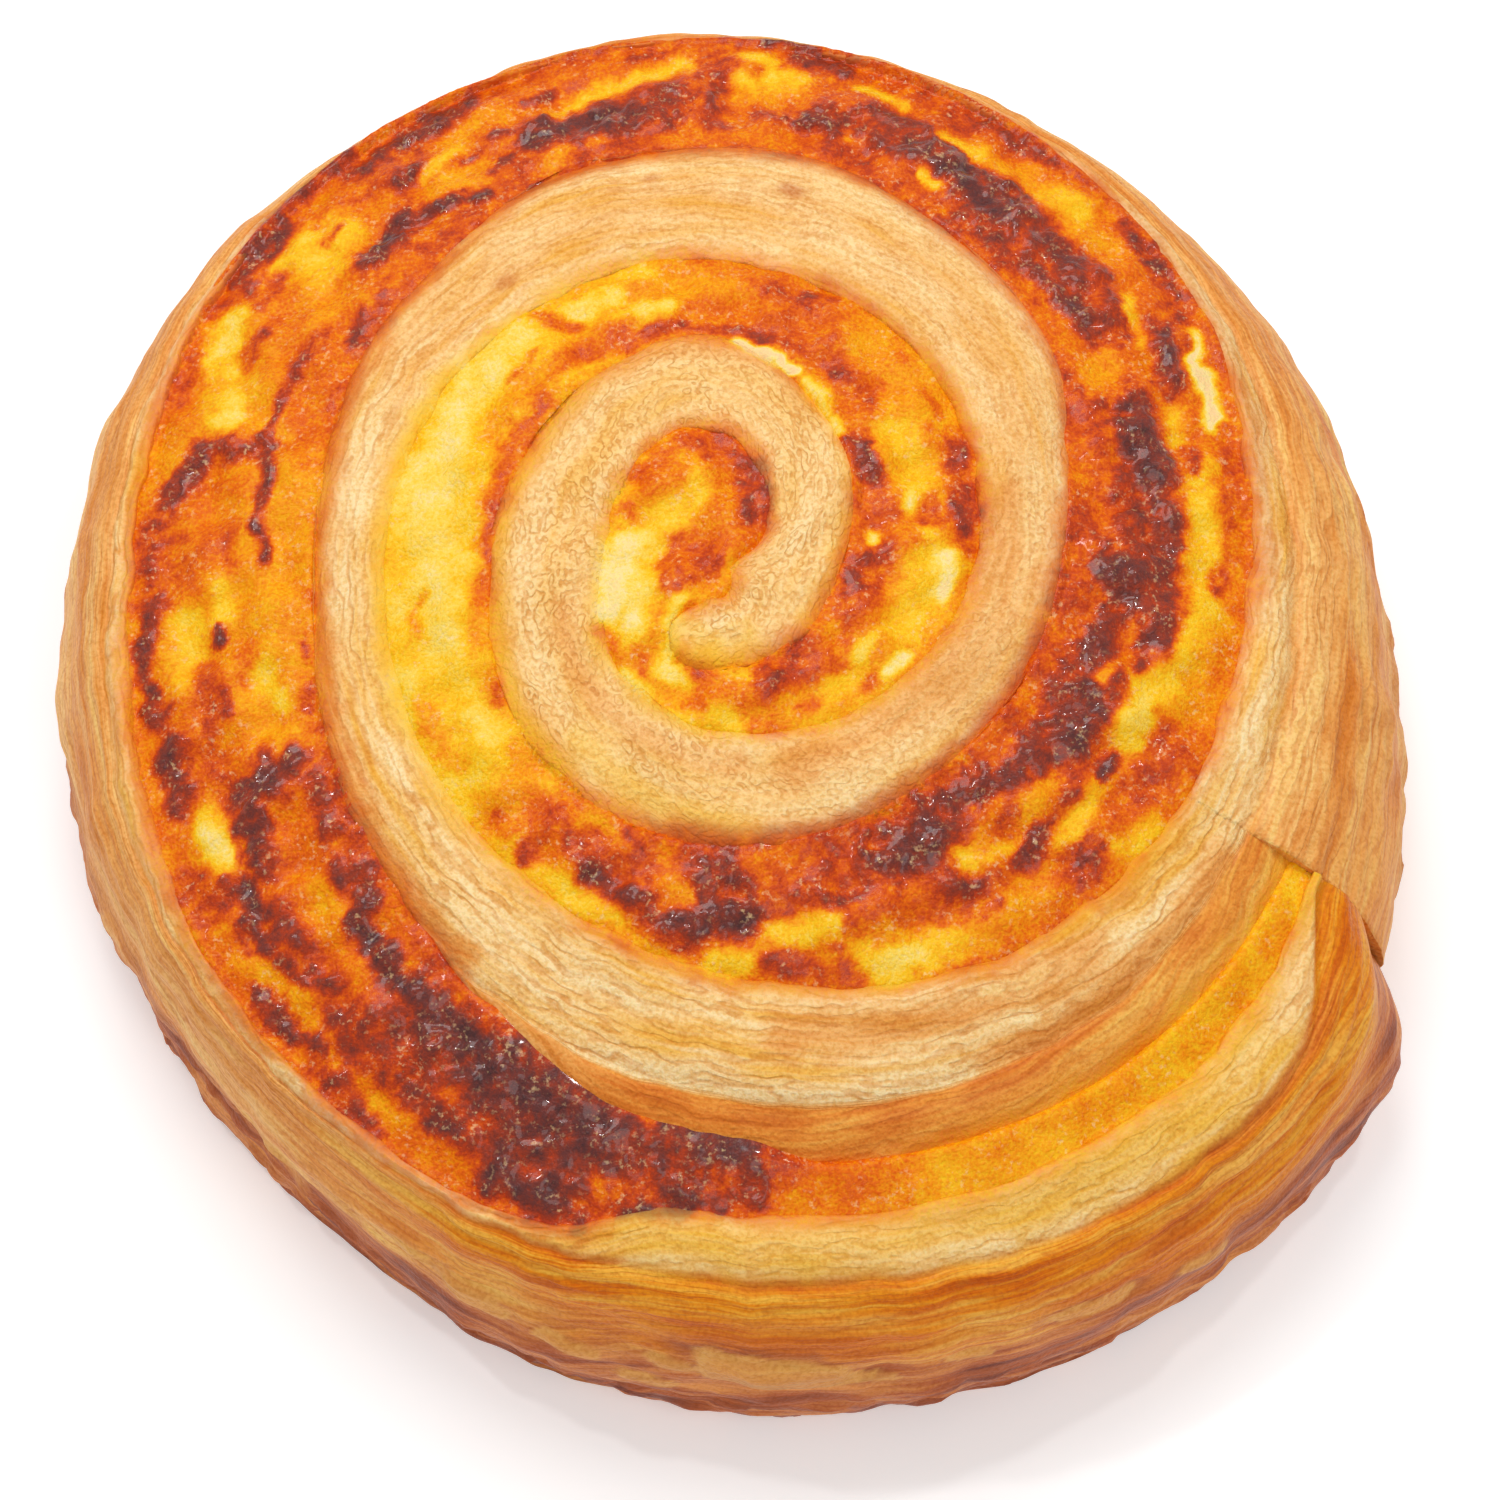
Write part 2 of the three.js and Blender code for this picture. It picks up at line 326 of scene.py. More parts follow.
FIRST_TURN_STROKES = (
    (PALE, 1.0, (246, .35), (262, .3)), (AMBER, 0.9, (262, .62), (272, .7)),
    (RUST, 0.5, (266, .62), (271, .72)), (YELLOW, 1.1, (276, .75), (285, .75)),
    (ORANGE, 1.0, (277, .35), (290, .38)), (ORANGE, 0.9, (288, .9), (292, 1.05)),
    (RUST, 1.3, (290, .52), (300, .5), (318, .5)), (RED, 1.2, (297, .38), (308, .4), (322, .3)),
    (DARK, 0.9, (299, .18), (310, .22), (318, .1)), (RED, 0.9, (316, .22), (324, .15)),
    (AMBER, 1.0, (300, .68), (312, .68)), (YELLOW, 0.9, (314, .7), (322, .68)),
    (RUST, 0.5, (303, .8), (308, .82)), (RUST, 0.6, (322, .88), (326, .85)),
    (CREAM, 0.6, (328, .9), (336, .88)), (ORANGE, 1.6, (328, .3), (342, .3)),
    (PALE, 0.7, (330, .52), (336, .5)), (RUST, 1.5, (340, .3), (348, .3)),
    (YELLOW, 2.2, (346, .65), (358, .7), (368, .62)), (RED, 2.1, (350, .22), (362, .22), (369, .28)),
    (DARK, 1.0, (354, .14), (360, .12)), (DARK, 0.8, (363, .24), (370, .28)),
    (CREAM, 0.8, (356, .86), (363, .82)), (ORANGE, 1.4, (370, .42), (379, .36)),
    (RUST, 1.5, (372, .2), (384, .22)), (PALE, 0.5, (370, .15), (373, .14)),
    # The cream dab from (379, .42) to (382, .44) is a painted glint, a painted highlight of light on
    # the browned cheese
    (RED, 0.9, (374, .6), (380, .58)), (CREAM, 0.5, (379, .42), (382, .44)),
    (RED, 1.6, (369, .88), (380, .88), (390, .88)), (DARK, 0.8, (371, .87), (379, .9)),
    (DARK, 0.6, (385, .88), (388, .92)), (BROWN, 0.5, (372, 1.05), (374, 1.06)),
    (RED, 1.5, (381, .14), (394, .14)), (CHAR, 1.1, (392, .12), (402, .12)),
    (DARK, 0.6, (400, .22), (405, .2)), (YELLOW, 1.7, (384, .48), (400, .48)),
    (ORANGE, 0.6, (392, .68), (396, .72)), (RUST, 0.6, (397, .85), (402, .85)),
    (RUST, 0.5, (407, .9), (411, .9)), (ORANGE, 1.2, (405, .22), (414, .28)),
    (AMBER, 2.2, (405, .65), (428, .68)), (RED, 1.5, (411, .4), (424, .38)),
    (DARK, 0.7, (416, .35), (421, .36)), (PALE, 0.6, (408, .02), (424, .03)),
    (RUST, 1.6, (424, .38), (436, .3), (440, .2)), (BROWN, 0.5, (427, .28), (432, .2)),
    (RUST, 1.9, (427, .68), (442, .68)), (RED, 1.1, (430, .78), (441, .74)),
    (BROWN, 0.5, (427, .92), (431, .9)), (BROWN, 0.7, (436, .16), (445, .16)),
    (BARE, 0.6, (428, .03), (442, .02)), (AMBER, 2.4, (445, .65), (460, .66)),
    (ORANGE, 1.3, (446, .38), (456, .32)), (ORANGE, 0.8, (449, 1.0), (451, 1.1)),
    (BROWN, 0.45, (447, .14), (458, .18), (466, .12)), (PALE, 1.0, (457, .4), (466, .42)),
    (PALE, 1.2, (466, .78), (474, .72)), (YELLOW, 0.8, (459, .88), (463, .9)),
    (ORANGE, 1.4, (466, .3), (490, .28)), (RUST, 1.0, (467, .26), (478, .28)),
    (RUST, 0.5, (480, .92), (476, .7), (474, .58)), (RUST, 0.3, (484, .58), (492, .56)),
    (PALE, 1.7, (484, .85), (500, .75), (515, .68)), (AMBER, 1.2, (488, .45), (505, .38)),
    (RED, 0.8, (490, .16), (497, .12)), (RUST, 1.3, (500, .12), (520, .1), (545, .05)),
    (RED, 0.8, (515, .06), (530, .08), (540, .03)), (YELLOW, 1.5, (510, .38), (525, .34), (540, .3)),
    (PALE, 2.2, (515, .7), (530, .62), (545, .5)), (ORANGE, 0.9, (545, .06), (556, .08)),
    (AMBER, 0.45, (544, .62), (548, .72), (554, .68), (556, .56)),
    (PALE, 1.8, (558, .42), (572, .45)), (AMBER, 1.2, (555, .15), (570, .12)),
    (RED, 0.7, (572, .05), (575, .05)), (YELLOW, 3.0, (566, .55), (585, .5), (598, .5)),
    (AMBER, 0.9, (568, .85), (580, .85)), (PALE, 0.9, (576, .32), (588, .33)),
    (AMBER, 1.0, (586, .15), (594, .18)),
)

SECOND_TURN_STROKES = (
    (AMBER, 3.0, (594, .55), (606, .5)), (RUST, 0.5, (592, .72), (595, .8)),
    (ORANGE, 0.7, (593, .85), (596, .8)), (RED, 0.7, (600, .85), (603, .78)),
    (RUST, 2.2, (601, .4), (610, .4)), (ORANGE, 0.6, (602, .1), (606, .15)),
    (RED, 0.9, (602, .38), (608, .4)), (AMBER, 1.2, (608, .2), (616, .2)),
    (YELLOW, 1.1, (604, .88), (612, .88), (618, .85)),
    (BROWN, 1.2, (609, .48), (614, .55), (620, .62)), (DARK, 0.9, (612, .56), (622, .62)),
    (CHAR, 0.5, (619, .56), (623, .6)), (RUST, 1.2, (611, .36), (618, .38)),
    (BROWN, 0.8, (616, .1), (620, .25), (623, .45)), (RUST, 0.7, (618, .28), (620, .3)),
    (ORANGE, 1.9, (624, .4), (629, .4), (627, .6)), (AMBER, 0.9, (626, .38), (629, .45)),
    (AMBER, 1.0, (620, .9), (627, 1.0)), (RED, 0.7, (622, .78), (628, .84), (631, .88)),
    (RED, 1.2, (628, .78), (634, .76)), (RUST, 1.3, (632, .82), (639, .7)),
    (RED, 1.5, (630, .2), (636, .15)), (DARK, 0.8, (631, .14), (633, .24), (635, .1)),
    (DARK, 1.2, (636, .2), (640, .35), (641, .5)), (DARK, 0.7, (631, .3), (632, .42), (634, .5)),
    (CHAR, 1.1, (627, .68), (632, .62), (637, .55), (641, .48)),
    (ORANGE, 1.2, (639, .1), (650, .12)), (RUST, 1.6, (642, .4), (648, .4)),
    (YELLOW, 1.3, (632, .95), (638, .88)), (YELLOW, 1.5, (641, .64), (650, .6)),
    (RED, 1.0, (639, .88), (645, .86)), (BROWN, 0.6, (640, .84), (643, .92)),
    (ORANGE, 0.8, (636, 1.05), (644, 1.05)), (DARK, 1.2, (648, .38), (652, .42), (655, .4)),
    (BROWN, 1.0, (654, .36), (660, .34)), (AMBER, 1.6, (655, .62), (664, .62)),
    (RED, 1.0, (652, .62), (654, .62)), (YELLOW, 2.0, (653, .88), (660, .85)),
    (PALE, 1.0, (655, .9), (658, .86)), (RED, 0.7, (648.5, .82), (650, .98)),
    (RUST, 0.8, (658, .58), (662, .62)), (YELLOW, 1.2, (663, .78), (667, .85)),
    (RUST, 2.4, (648, .16), (662, .16), (675, .1)), (RED, 1.9, (655, .25), (664, .25)),
    (RUST, 2.0, (660, .42), (668, .45)), (CHAR, 2.2, (664, .25), (671, .25), (678, .2)),
    (DARK, 1.3, (673, .1), (680, .12), (686, .22)), (BROWN, 1.4, (666, .58), (673, .58)),
    (DARK, 0.8, (668, .55), (671, .58)), (RUST, 1.0, (664, .66), (668, .7)),
    (YELLOW, 1.4, (671, .46), (676, .48)), (AMBER, 1.6, (668, .82), (676, .8)),
    (RUST, 0.5, (668, .78), (671, .76)), (ORANGE, 2.0, (677, .36), (688, .38)),
    (AMBER, 1.2, (683, .42), (691, .4)), (RUST, 0.7, (678, .42), (681, .4)),
    (BROWN, 0.8, (676, .62), (681, .6), (690, .55)), (DARK, 0.7, (678, .6), (682, .6)),
    (YELLOW, 1.3, (683, .7), (690, .66), (693, .64)), (YELLOW, 1.2, (687, .92), (691, .95)),
    (RED, 1.5, (680, .84), (683.5, .86)), (BROWN, 1.2, (681, .85), (683, .86)),
    (RUST, 2.4, (690, .15), (712, .12), (724, .1)), (DARK, 1.3, (684, .26), (690, .28)),
    (DARK, 2.2, (694, .3), (702, .32)), (CHAR, 1.5, (695, .42), (702, .4)),
    (RED, 0.8, (690, .5), (693, .5)), (RUST, 2.1, (691, .78), (698, .8), (703, .85)),
    (RED, 1.0, (699, .78), (702, .8)), (CHAR, 0.6, (693, .59), (696, .6)),
    (YELLOW, 1.8, (699, .58), (707, .6)), (PALE, 1.0, (701, .6), (704, .62)),
    (BROWN, 1.2, (703, .2), (709, .28)), (DARK, 1.3, (708, .28), (716, .33)),
    (BROWN, 0.8, (703, .44), (707, .45)), (DARK, 0.6, (704, .42), (706, .42)),
    (AMBER, 0.6, (705, .36), (707, .38)), (YELLOW, 2.2, (708, .72), (717, .7)),
    (AMBER, 1.6, (705, .85), (716, .88)), (ORANGE, 0.8, (710, .9), (713, .9)),
    (AMBER, 0.9, (713, .43), (716, .42)), (BROWN, 0.6, (709, .52), (714, .5)),
    (DARK, 1.6, (713, .55), (720, .56)), (BROWN, 1.6, (717, .38), (722, .42)),
    (DARK, 2.6, (722, .4), (729, .42)), (CHAR, 1.3, (722, .22), (728, .2)),
    (DARK, 1.3, (722, .58), (729, .58)), (RUST, 0.8, (727.5, .42), (729, .45)),
    (ORANGE, 0.9, (719, .66), (726, .66)), (YELLOW, 1.5, (719, .8), (724, .78)),
    (YELLOW, 1.6, (724, .76), (736, .72)), (RED, 0.9, (721, .84), (723.5, .86)),
    (RUST, 0.6, (725, .88), (736, .9)), (RUST, 1.8, (728, .2), (740, .18), (746, .12)),
    (DARK, 2.1, (731, .4), (739, .42)), (CHAR, 2.0, (737, .46), (743, .42), (748, .38)),
    (ORANGE, 1.5, (742, .62), (746, .62)), (YELLOW, 1.0, (740, .64), (743, .66)),
    (RED, 0.7, (736.5, .68), (738.5, .7)), (BARE, 1.0, (741, .88), (751, .88)),
    (RUST, 0.7, (731, .95), (740, .92)), (BROWN, 0.6, (756, .0), (751, .1), (747, .2)),
    (0.33, 2.2, (750, .28), (757, .3)), (AMBER, 1.0, (751, .42), (757, .42)),
    (ORANGE, 0.9, (748, .5), (757, .52)), (YELLOW, 0.9, (753, .58), (755, .6)),
    (DARK, 1.6, (748, .68), (751, .74), (754, .78)), (CHAR, 0.7, (750, .72), (752, .76)),
    (ORANGE, 2.2, (757, .65), (764, .65)), (YELLOW, 0.8, (756, .6), (758, .62)),
    (BROWN, 1.0, (756, .95), (765, .98)), (DARK, 0.7, (760, .95), (764, .96)),
    (DARK, 1.6, (757, .3), (763, .32)), (CHAR, 0.9, (760, .28), (763, .3)),
    (BROWN, 1.5, (755, .45), (765, .45)), (RUST, 0.7, (758, .42), (760, .44)),
    (DARK, 0.8, (757, .52), (766, .56)), (ORANGE, 1.5, (757, .06), (775, .06)),
    (BROWN, 2.6, (764, .38), (774, .38)), (DARK, 1.9, (765, .45), (776, .46)),
    (DARK, 1.0, (766, .2), (769, .18)), (BROWN, 1.5, (770, .15), (780, .12)),
    (AMBER, 1.9, (765, .75), (776, .72)), (YELLOW, 1.0, (769, .8), (773, .75)),
    (DARK, 0.9, (775, .97), (784, .93)), (RUST, 1.0, (770, 1.0), (776, 1.05)),
    (CHAR, 2.0, (776, .38), (783, .4), (790, .42)), (DARK, 1.0, (774, .55), (783, .58), (792, .62)),
    (AMBER, 1.0, (778, .66), (785, .7)), (YELLOW, 0.6, (781, .66), (785, .68)),
    (RUST, 1.6, (784, .85), (799, .85)), (YELLOW, 0.7, (790, .78), (795, .8)),
    (RUST, 1.8, (781, .15), (795, .12)), (YELLOW, 0.5, (783, .22), (785, .25)),
    (ORANGE, 0.8, (788, .2), (791, .22)), (RED, 1.0, (792, .18), (796, .15)),
    (BROWN, 1.7, (790, .42), (799, .42)), (DARK, 1.3, (797, .35), (804, .36)),
    (RUST, 0.9, (795, .66), (799, .64)), (ORANGE, 1.5, (801, .12), (814, .1)),
    (AMBER, 2.6, (801, .62), (806.5, .55)), (YELLOW, 1.0, (801, .7), (803, .7)),
    (YELLOW, 0.8, (805.5, .62), (806.5, .68)), (YELLOW, 0.8, (803, .85), (806, .85)),
    (DARK, 1.0, (797, .93), (801, .95)), (CHAR, 0.9, (802, 1.05), (804, 1.05)),
    (BROWN, 1.2, (808, .72), (809.5, .4), (808, .25)), (DARK, 0.6, (808.5, .6), (809, .4)),
    (RED, 1.5, (811, .55), (815, .45)), (RUST, 1.3, (812, .92), (830, .9)),
    (BROWN, 0.5, (815, .88), (817, .88)), (ORANGE, 0.9, (818, .85), (828, .8)),
    (YELLOW, 1.15, (812, .8), (815, .72), (820, .62), (826, .5)),
    (BROWN, 0.5, (825, .72), (828, .7)), (DARK, 1.9, (815, .33), (822, .33), (828, .38)),
    (CHAR, 1.3, (819, .38), (823, .4)), (CHAR, 0.9, (826, .38), (829, .36)),
    (RED, 0.6, (815, .2), (818, .18)), (AMBER, 1.0, (826, .12), (829, .1)),
    (RUST, 1.2, (830, .18), (833, .2)), (AMBER, 1.4, (831, .68), (837, .65)),
    (BROWN, 0.35, (829, .52), (836, .45)), (DARK, 0.5, (832, .3), (834, .28)),
    (DARK, 1.1, (833, .9), (842, .88), (846, .9)), (BROWN, 1.0, (845, 1.05), (855, 1.05)),
    (YELLOW, 0.6, (836, .6), (841, .53)), (AMBER, 1.4, (836, .35), (841, .38)),
    (RED, 0.8, (842, .7), (845, .68)), (DARK, 0.8, (841, .62), (843, .6)),
    (RUST, 1.5, (834, .08), (846, .08)), (CHAR, 0.7, (836, .15), (839, .24), (843, .3)),
    (ORANGE, 1.4, (846, .6), (851, .58)), (ORANGE, 1.3, (847, .82), (853, .85)),
    (RUST, 0.7, (846, .75), (849, .75)), (DARK, 1.4, (845, .35), (852, .36)),
    (CHAR, 0.6, (846, .38), (850, .36)), (YELLOW, 2.2, (852, .6), (859, .6)),
    (YELLOW, 1.2, (854, .78), (858, .75)), (RED, 0.45, (851.5, .64), (853.5, .64)),
    (ORANGE, 0.8, (849, .12), (852, .12)), (RED, 0.8, (853, .15), (856, .12)),
    (DARK, 1.1, (855, .95), (862, .93)), (BROWN, 0.9, (862, .85), (866, .92)),
    (0.36, 1.4, (857, .35), (862, .36)), (BROWN, 0.9, (858, .12), (862, .12)),
    (ORANGE, 1.5, (860, .6), (865, .55)), (RUST, 0.9, (859, .72), (863, .72)),
    (ORANGE, 1.6, (866, .15), (882, .15)), (RUST, 0.8, (863, .3), (868, .32)),
    (BROWN, 0.5, (866, .3), (873, .33), (880, .35)), (PALE, 1.4, (866, .82), (869, .8)),
    (BROWN, 0.6, (866.5, .62), (869, .62)), (RED, 0.8, (869, .64), (870.5, .62)),
    (RUST, 0.8, (871, .95), (877, .95)), (YELLOW, 2.0, (872, .7), (876, .62)),
    (PALE, 1.0, (875, .58), (878, .6)),
)

LAST_TURN_STROKES = (
    (AMBER, 3.4, (886, .15), (905, .2), (920, .25)), (ORANGE, 2.4, (886, .6), (898, .62)),
    (BROWN, 0.9, (879, .34), (880.5, .5), (883, .68), (887, .82)),
    (DARK, 0.9, (882, .7), (886, .78), (890, .85)),
    (DARK, 0.6, (880, .32), (884, .31), (890, .31), (896, .27)), (RUST, 0.6, (893, .47), (898, .46)),
    (RED, 1.6, (892, .88), (900, .88)), (BROWN, 0.9, (900, .85), (905, .9)),
    (DARK, 0.8, (904, .92), (910, .92), (914, .84)), (BROWN, 0.9, (913, .82), (918, .78)),
    (YELLOW, 1.3, (899, .52), (903, .5)), (YELLOW, 1.8, (903, .68), (909, .66)),
    (DARK, 0.45, (904.5, .51), (907, .52)), (ORANGE, 0.8, (908, .38), (912, .36)),
    (RUST, 1.3, (910, .58), (917, .6)), (RED, 0.7, (913, .5), (916, .5)),
    (YELLOW, 0.8, (911, .28), (917, .2)), (BROWN, 0.3, (909, .05), (911, .05)),
    (RUST, 0.5, (916, .05), (919, .05)), (DARK, 0.9, (918, .86), (922, .83), (926, .78)),
    (RUST, 1.3, (920, .62), (926, .6)), (YELLOW, 1.6, (926, .72), (931, .72)),
    (PALE, 0.9, (928, .74), (931, .68)), (RUST, 0.4, (926, .57), (933, .62)),
    (DARK, 1.3, (925, .2), (927, .3)), (CHAR, 1.9, (925, .38), (929, .42)),
    (CHAR, 1.1, (930, .45), (934, .52)), (ORANGE, 2.4, (931, .32), (938, .32)),
    (BROWN, 1.0, (929, .12), (936, .15)), (RED, 1.5, (932, .88), (936, .9)),
    (BROWN, 0.8, (933, .75), (935, .75)), (ORANGE, 1.4, (937, .92), (941, .92)),
    (AMBER, 1.6, (941, .82), (947, .78)), (BROWN, 1.2, (939, .6), (945, .56)),
    (CHAR, 0.9, (935, .66), (938, .7)), (DARK, 0.6, (938, .74), (942, .7), (947, .68)),
    (RED, 0.5, (938, .8), (940, .8)), (AMBER, 1.0, (940, .35), (944, .38)),
    (BROWN, 0.9, (940, .18), (943, .18)), (DARK, 0.4, (941, .22), (942, .22)),
    (AMBER, 0.8, (943, .3), (946, .3)), (ORANGE, 1.0, (946, .06), (950, .04)),
    (DARK, 0.9, (943, .08), (946, .16), (948, .28)), (RUST, 1.5, (946, .58), (955, .52)),
    (BROWN, 0.8, (946, .62), (949, .6)), (AMBER, 1.2, (947, .76), (950, .74)),
    (AMBER, 1.1, (953, .78), (958, .76)), (DARK, 0.9, (944, .9), (948, .88), (952, .83)),
    (RED, 1.4, (951, .64), (956, .62)), (BROWN, 0.9, (953, .92), (960, .92)),
    (BROWN, 3.0, (956, .52), (968, .5)), (CHAR, 1.2, (949, .26), (955, .28), (961, .28)),
    (RED, 1.2, (957, .58), (960, .56)), (RED, 0.9, (964, .5), (966, .48)),
    (AMBER, 0.9, (959, .85), (963, .85)), (ORANGE, 1.6, (964, .86), (972, .86)),
    (RUST, 1.0, (960, -.1), (968, -.2)), (DARK, 1.1, (965, .68), (972, .66)),
    (DARK, 2.2, (970, .35), (978, .35), (984, .3)),
    (DARK, 2.6, (972, -.05), (980, -.4), (988, -.5), (994, -.45)),
    (CHAR, 1.6, (961, .2), (968, .15), (976, .1), (982, .0)), (RUST, 1.0, (971, -.35), (979, -.62)),
    (ORANGE, 1.0, (982, -.55), (985, -.55)), (CHAR, 1.5, (972, .78), (979, .8)),
    (RUST, 1.2, (980, .76), (984, .76)), (RUST, 1.2, (985, .4), (992, .4)),
    (DARK, 1.2, (983, .1), (986, .3)), (CHAR, 0.9, (984, 1.05), (989, 1.05)),
    (DARK, 0.6, (986, .7), (992, .8)), (BROWN, 1.8, (990, .1), (995, .3)),
    (CHAR, 1.2, (989, -.25), (995, -.35)), (RED, 1.2, (997, -.6), (998.5, .1)),
    (ORANGE, 2.0, (1002, -.7), (1002, .8)), (ORANGE, 2.0, (1002, .4), (1012, .3)),
    (0.28, 3.6, (1013, .4), (1030, .4), (1050, .4)), (AMBER, 1.0, (1014, .2), (1030, .3)),
    (AMBER, 0.8, (1036, .7), (1050, .8)),
)

# How strongly each turn's strokes brown the cheese
CHEESE_STROKES = (
    (0.72, EYE_STROKES), (0.72, FIRST_TURN_STROKES),
    (0.9, SECOND_TURN_STROKES), (0.95, LAST_TURN_STROKES),
)

# The average bake of the cheese along the roll, at each eighth of a turn
BAKE_FROM = -90
BAKE_ALONG = (
    AMBER, AMBER, AMBER, ORANGE, AMBER, AMBER, PALE, YELLOW, YELLOW,
    AMBER, AMBER, AMBER, AMBER, YELLOW, YELLOW, YELLOW, ORANGE,
    ORANGE, ORANGE, ORANGE, 0.45, 0.4, 0.35, ORANGE, ORANGE, YELLOW,
)
bake_along = curve_through(BAKE_ALONG, BAKE_FROM, KNOT_SPACING)
INNER_EDGE = 0.12
INNER_EDGE_BAKE = 0.06


# ---- The cheese -------------------------------------------------------------------------------

# Where the cheese laps over the dough: from one angle to another, how thick, how far it reaches
OUTER_LAPS = ((752, 868, 0.35, 2.3), (870, 892, 0.1, 0.8), (918, 944, 0.15, 0.8))
INNER_LAPS = (
    (388, 432, 0.3, 1.2), (486, 600, 0.1, 0.8), (600, 735, 0.25, 1.0), (968, 993, 0.35, 4.4),
)
LAP_FADE = 9
DEFAULT_LAP = 0.04
DEFAULT_REACH = 1.0
LEAST_SLOPE_WIDTH = 0.01
EDGE_FALL = (-0.3, 0.6)
EDGE_DROP = 3

# The turns that the cheese can be on, a radius for the inner side that the eye lacks, and a depth
# for places past the filling's two ends
TURNS = 4
NO_INNER_SIDE = -9
OUTSIDE = -99


def laps(angle, ranges):
    """How far the cheese stands over the dough's edge, and how far it laps onto the dough."""
    thick = np.full(np.shape(angle), DEFAULT_LAP)
    reach = np.full(np.shape(angle), DEFAULT_REACH)
    for start, end, lap, width in ranges:
        weight = ease(angle, start - LAP_FADE, start) * (1 - ease(angle, end, end + LAP_FADE))
        thick = lerp(thick, lap, weight)
        reach = lerp(reach, width, weight)
    return thick, reach


def find_band(x, y):
    """The radius and turn angle of the cheese at each place, the radii of its two sides and the
    depth inside them."""
    radius = np.hypot(x - EYE[0], y - EYE[1])
    bearing = np.degrees(np.arctan2(y - EYE[1], x - EYE[0]))
    best = None
    for turn in range(TURNS):
        angle = bearing + TURN * turn
        low = np.where(angle < TIP_ANGLE, NO_INNER_SIDE, strip_faces(angle)[2])
        high = strip_faces(angle + TURN)[0]
        depth = np.minimum(radius - low, high - radius)
        inside = (angle > TIP_ANGLE - TURN) & (angle < FILLING_END_ANGLE)
        depth = np.where(inside, depth, OUTSIDE)
        found = np.stack([angle, np.maximum(low, 0), high, depth])
        best = found if best is None else np.where(found[3] > best[3], found, best)
    return radius, *best


def past_laps(angle, radius, low, high):
    """How far a place is beyond the cheese that laps onto the dough on its side."""
    outward = radius - high - laps(angle, OUTER_LAPS)[1]
    inward = low - radius - laps(angle, INNER_LAPS)[1]
    return np.maximum(outward, inward)


def dough_outside(angle, radius):
    """Height of the dough just outside the cheese: the next turn's top, and its wall's shoulder."""
    inner, outer = strip_faces(angle)[:2]
    top = dough_top(angle, radius, inner, outer)
    past = clamp((radius - outer) / np.maximum(belly_curve(angle), 1))
    shoulder = edge_height(angle, outer) * (1 - BELLY_LEVEL) * (1 - np.sqrt(1 - past * past))
    return np.where(radius > outer, top - shoulder, top)


def dough_inside(angle, radius):
    """Height of the dough just inside the cheese: the strip's top, or its slope to the crease."""
    inner, outer, foot, opened = strip_faces(angle)
    up = clamp((foot - radius) / np.maximum(foot - outer, LEAST_SLOPE_WIDTH))
    crease = edge_height(angle, outer) - CREASE_DEPTH * opened
    slope = lerp(crease, edge_height(angle, outer), np.sin(up * math.pi / 2))
    return np.where(radius > outer, slope, dough_top(angle, radius, inner, outer))


def cheese_height(x, y, bake):
    """Height of the cheese: flush with the dough on both sides, heaped and craggy between."""
    radius, angle, low, high, depth = find_band(x, y)
    _, outer, _, opened = strip_faces(angle)
    share = clamp((radius - low) / (high - low))
    in_eye = 1 - ease(angle, TIP_ANGLE, TIP_ANGLE + NOSE_LENGTH)
    inner_lap, inner_reach = laps(angle, INNER_LAPS)
    outer_lap, outer_reach = laps(angle, OUTER_LAPS)
    wander = 0.22 * cloud(x / 2.6, y / 2.6, 29, 2)
    inner_lap, outer_lap = inner_lap + wander, outer_lap + wander

    near = edge_height(angle, outer) - CREASE_DEPTH * opened + inner_lap
    far = edge_height(angle + TURN, high) + outer_lap
    sides = lerp(near, far, share)
    sides = lerp(sides, crown_height(radius) - EDGE_ROUNDING + outer_lap, in_eye)
    arch = 4 * share * (1 - share) * (1 - opened)
    arch = lerp(arch, 1 - (radius / high) ** 4, in_eye)
    heaped = crown_height(radius) + FILLING_CRAG * crag(x, y) - FILLING_SINK
    height = lerp(sides, heaped, arch)

    past_outer = radius - high
    past_inner = low - radius
    over = dough_outside(angle + TURN, radius)
    over = over + lerp(outer_lap, -1, ease(past_outer, 0, outer_reach))
    under = dough_inside(angle, radius) + lerp(inner_lap, -1, ease(past_inner, 0, inner_reach))
    height = np.where(past_outer > 0, over, height)
    height = np.where((past_inner > 0) & (angle > TIP_ANGLE), under, height)

    crust = ease(bake, RUST, DARK)
    rim = ease(depth, -1.5, 0.8)
    bump, chance = blebs(x / 1.7, y / 1.7, 11)
    bubble = ease(0.75 - bump, 0, 0.6) * ease(chance, 0.15, 0.5)
    small, small_chance = blebs(x / 0.8, y / 0.8, 23)
    pock = ease(0.6 - small, 0, 0.5) * ease(small_chance, 0.3, 0.6)
    height += rim * crust * (0.34 * bubble + 0.16 * pock + 0.12)
    height += rim * (0.07 + 0.2 * crust) * cloud(x / 1.1, y / 1.1, 31, 3)
    height += rim * (1 - crust) * (0.22 * cloud(x / 3.1, y / 3.1, 37, 2) + 0.05 * pock)
    beyond = past_laps(angle, radius, low, high)
    return under_limit(height - EDGE_DROP * ease(beyond, *EDGE_FALL))


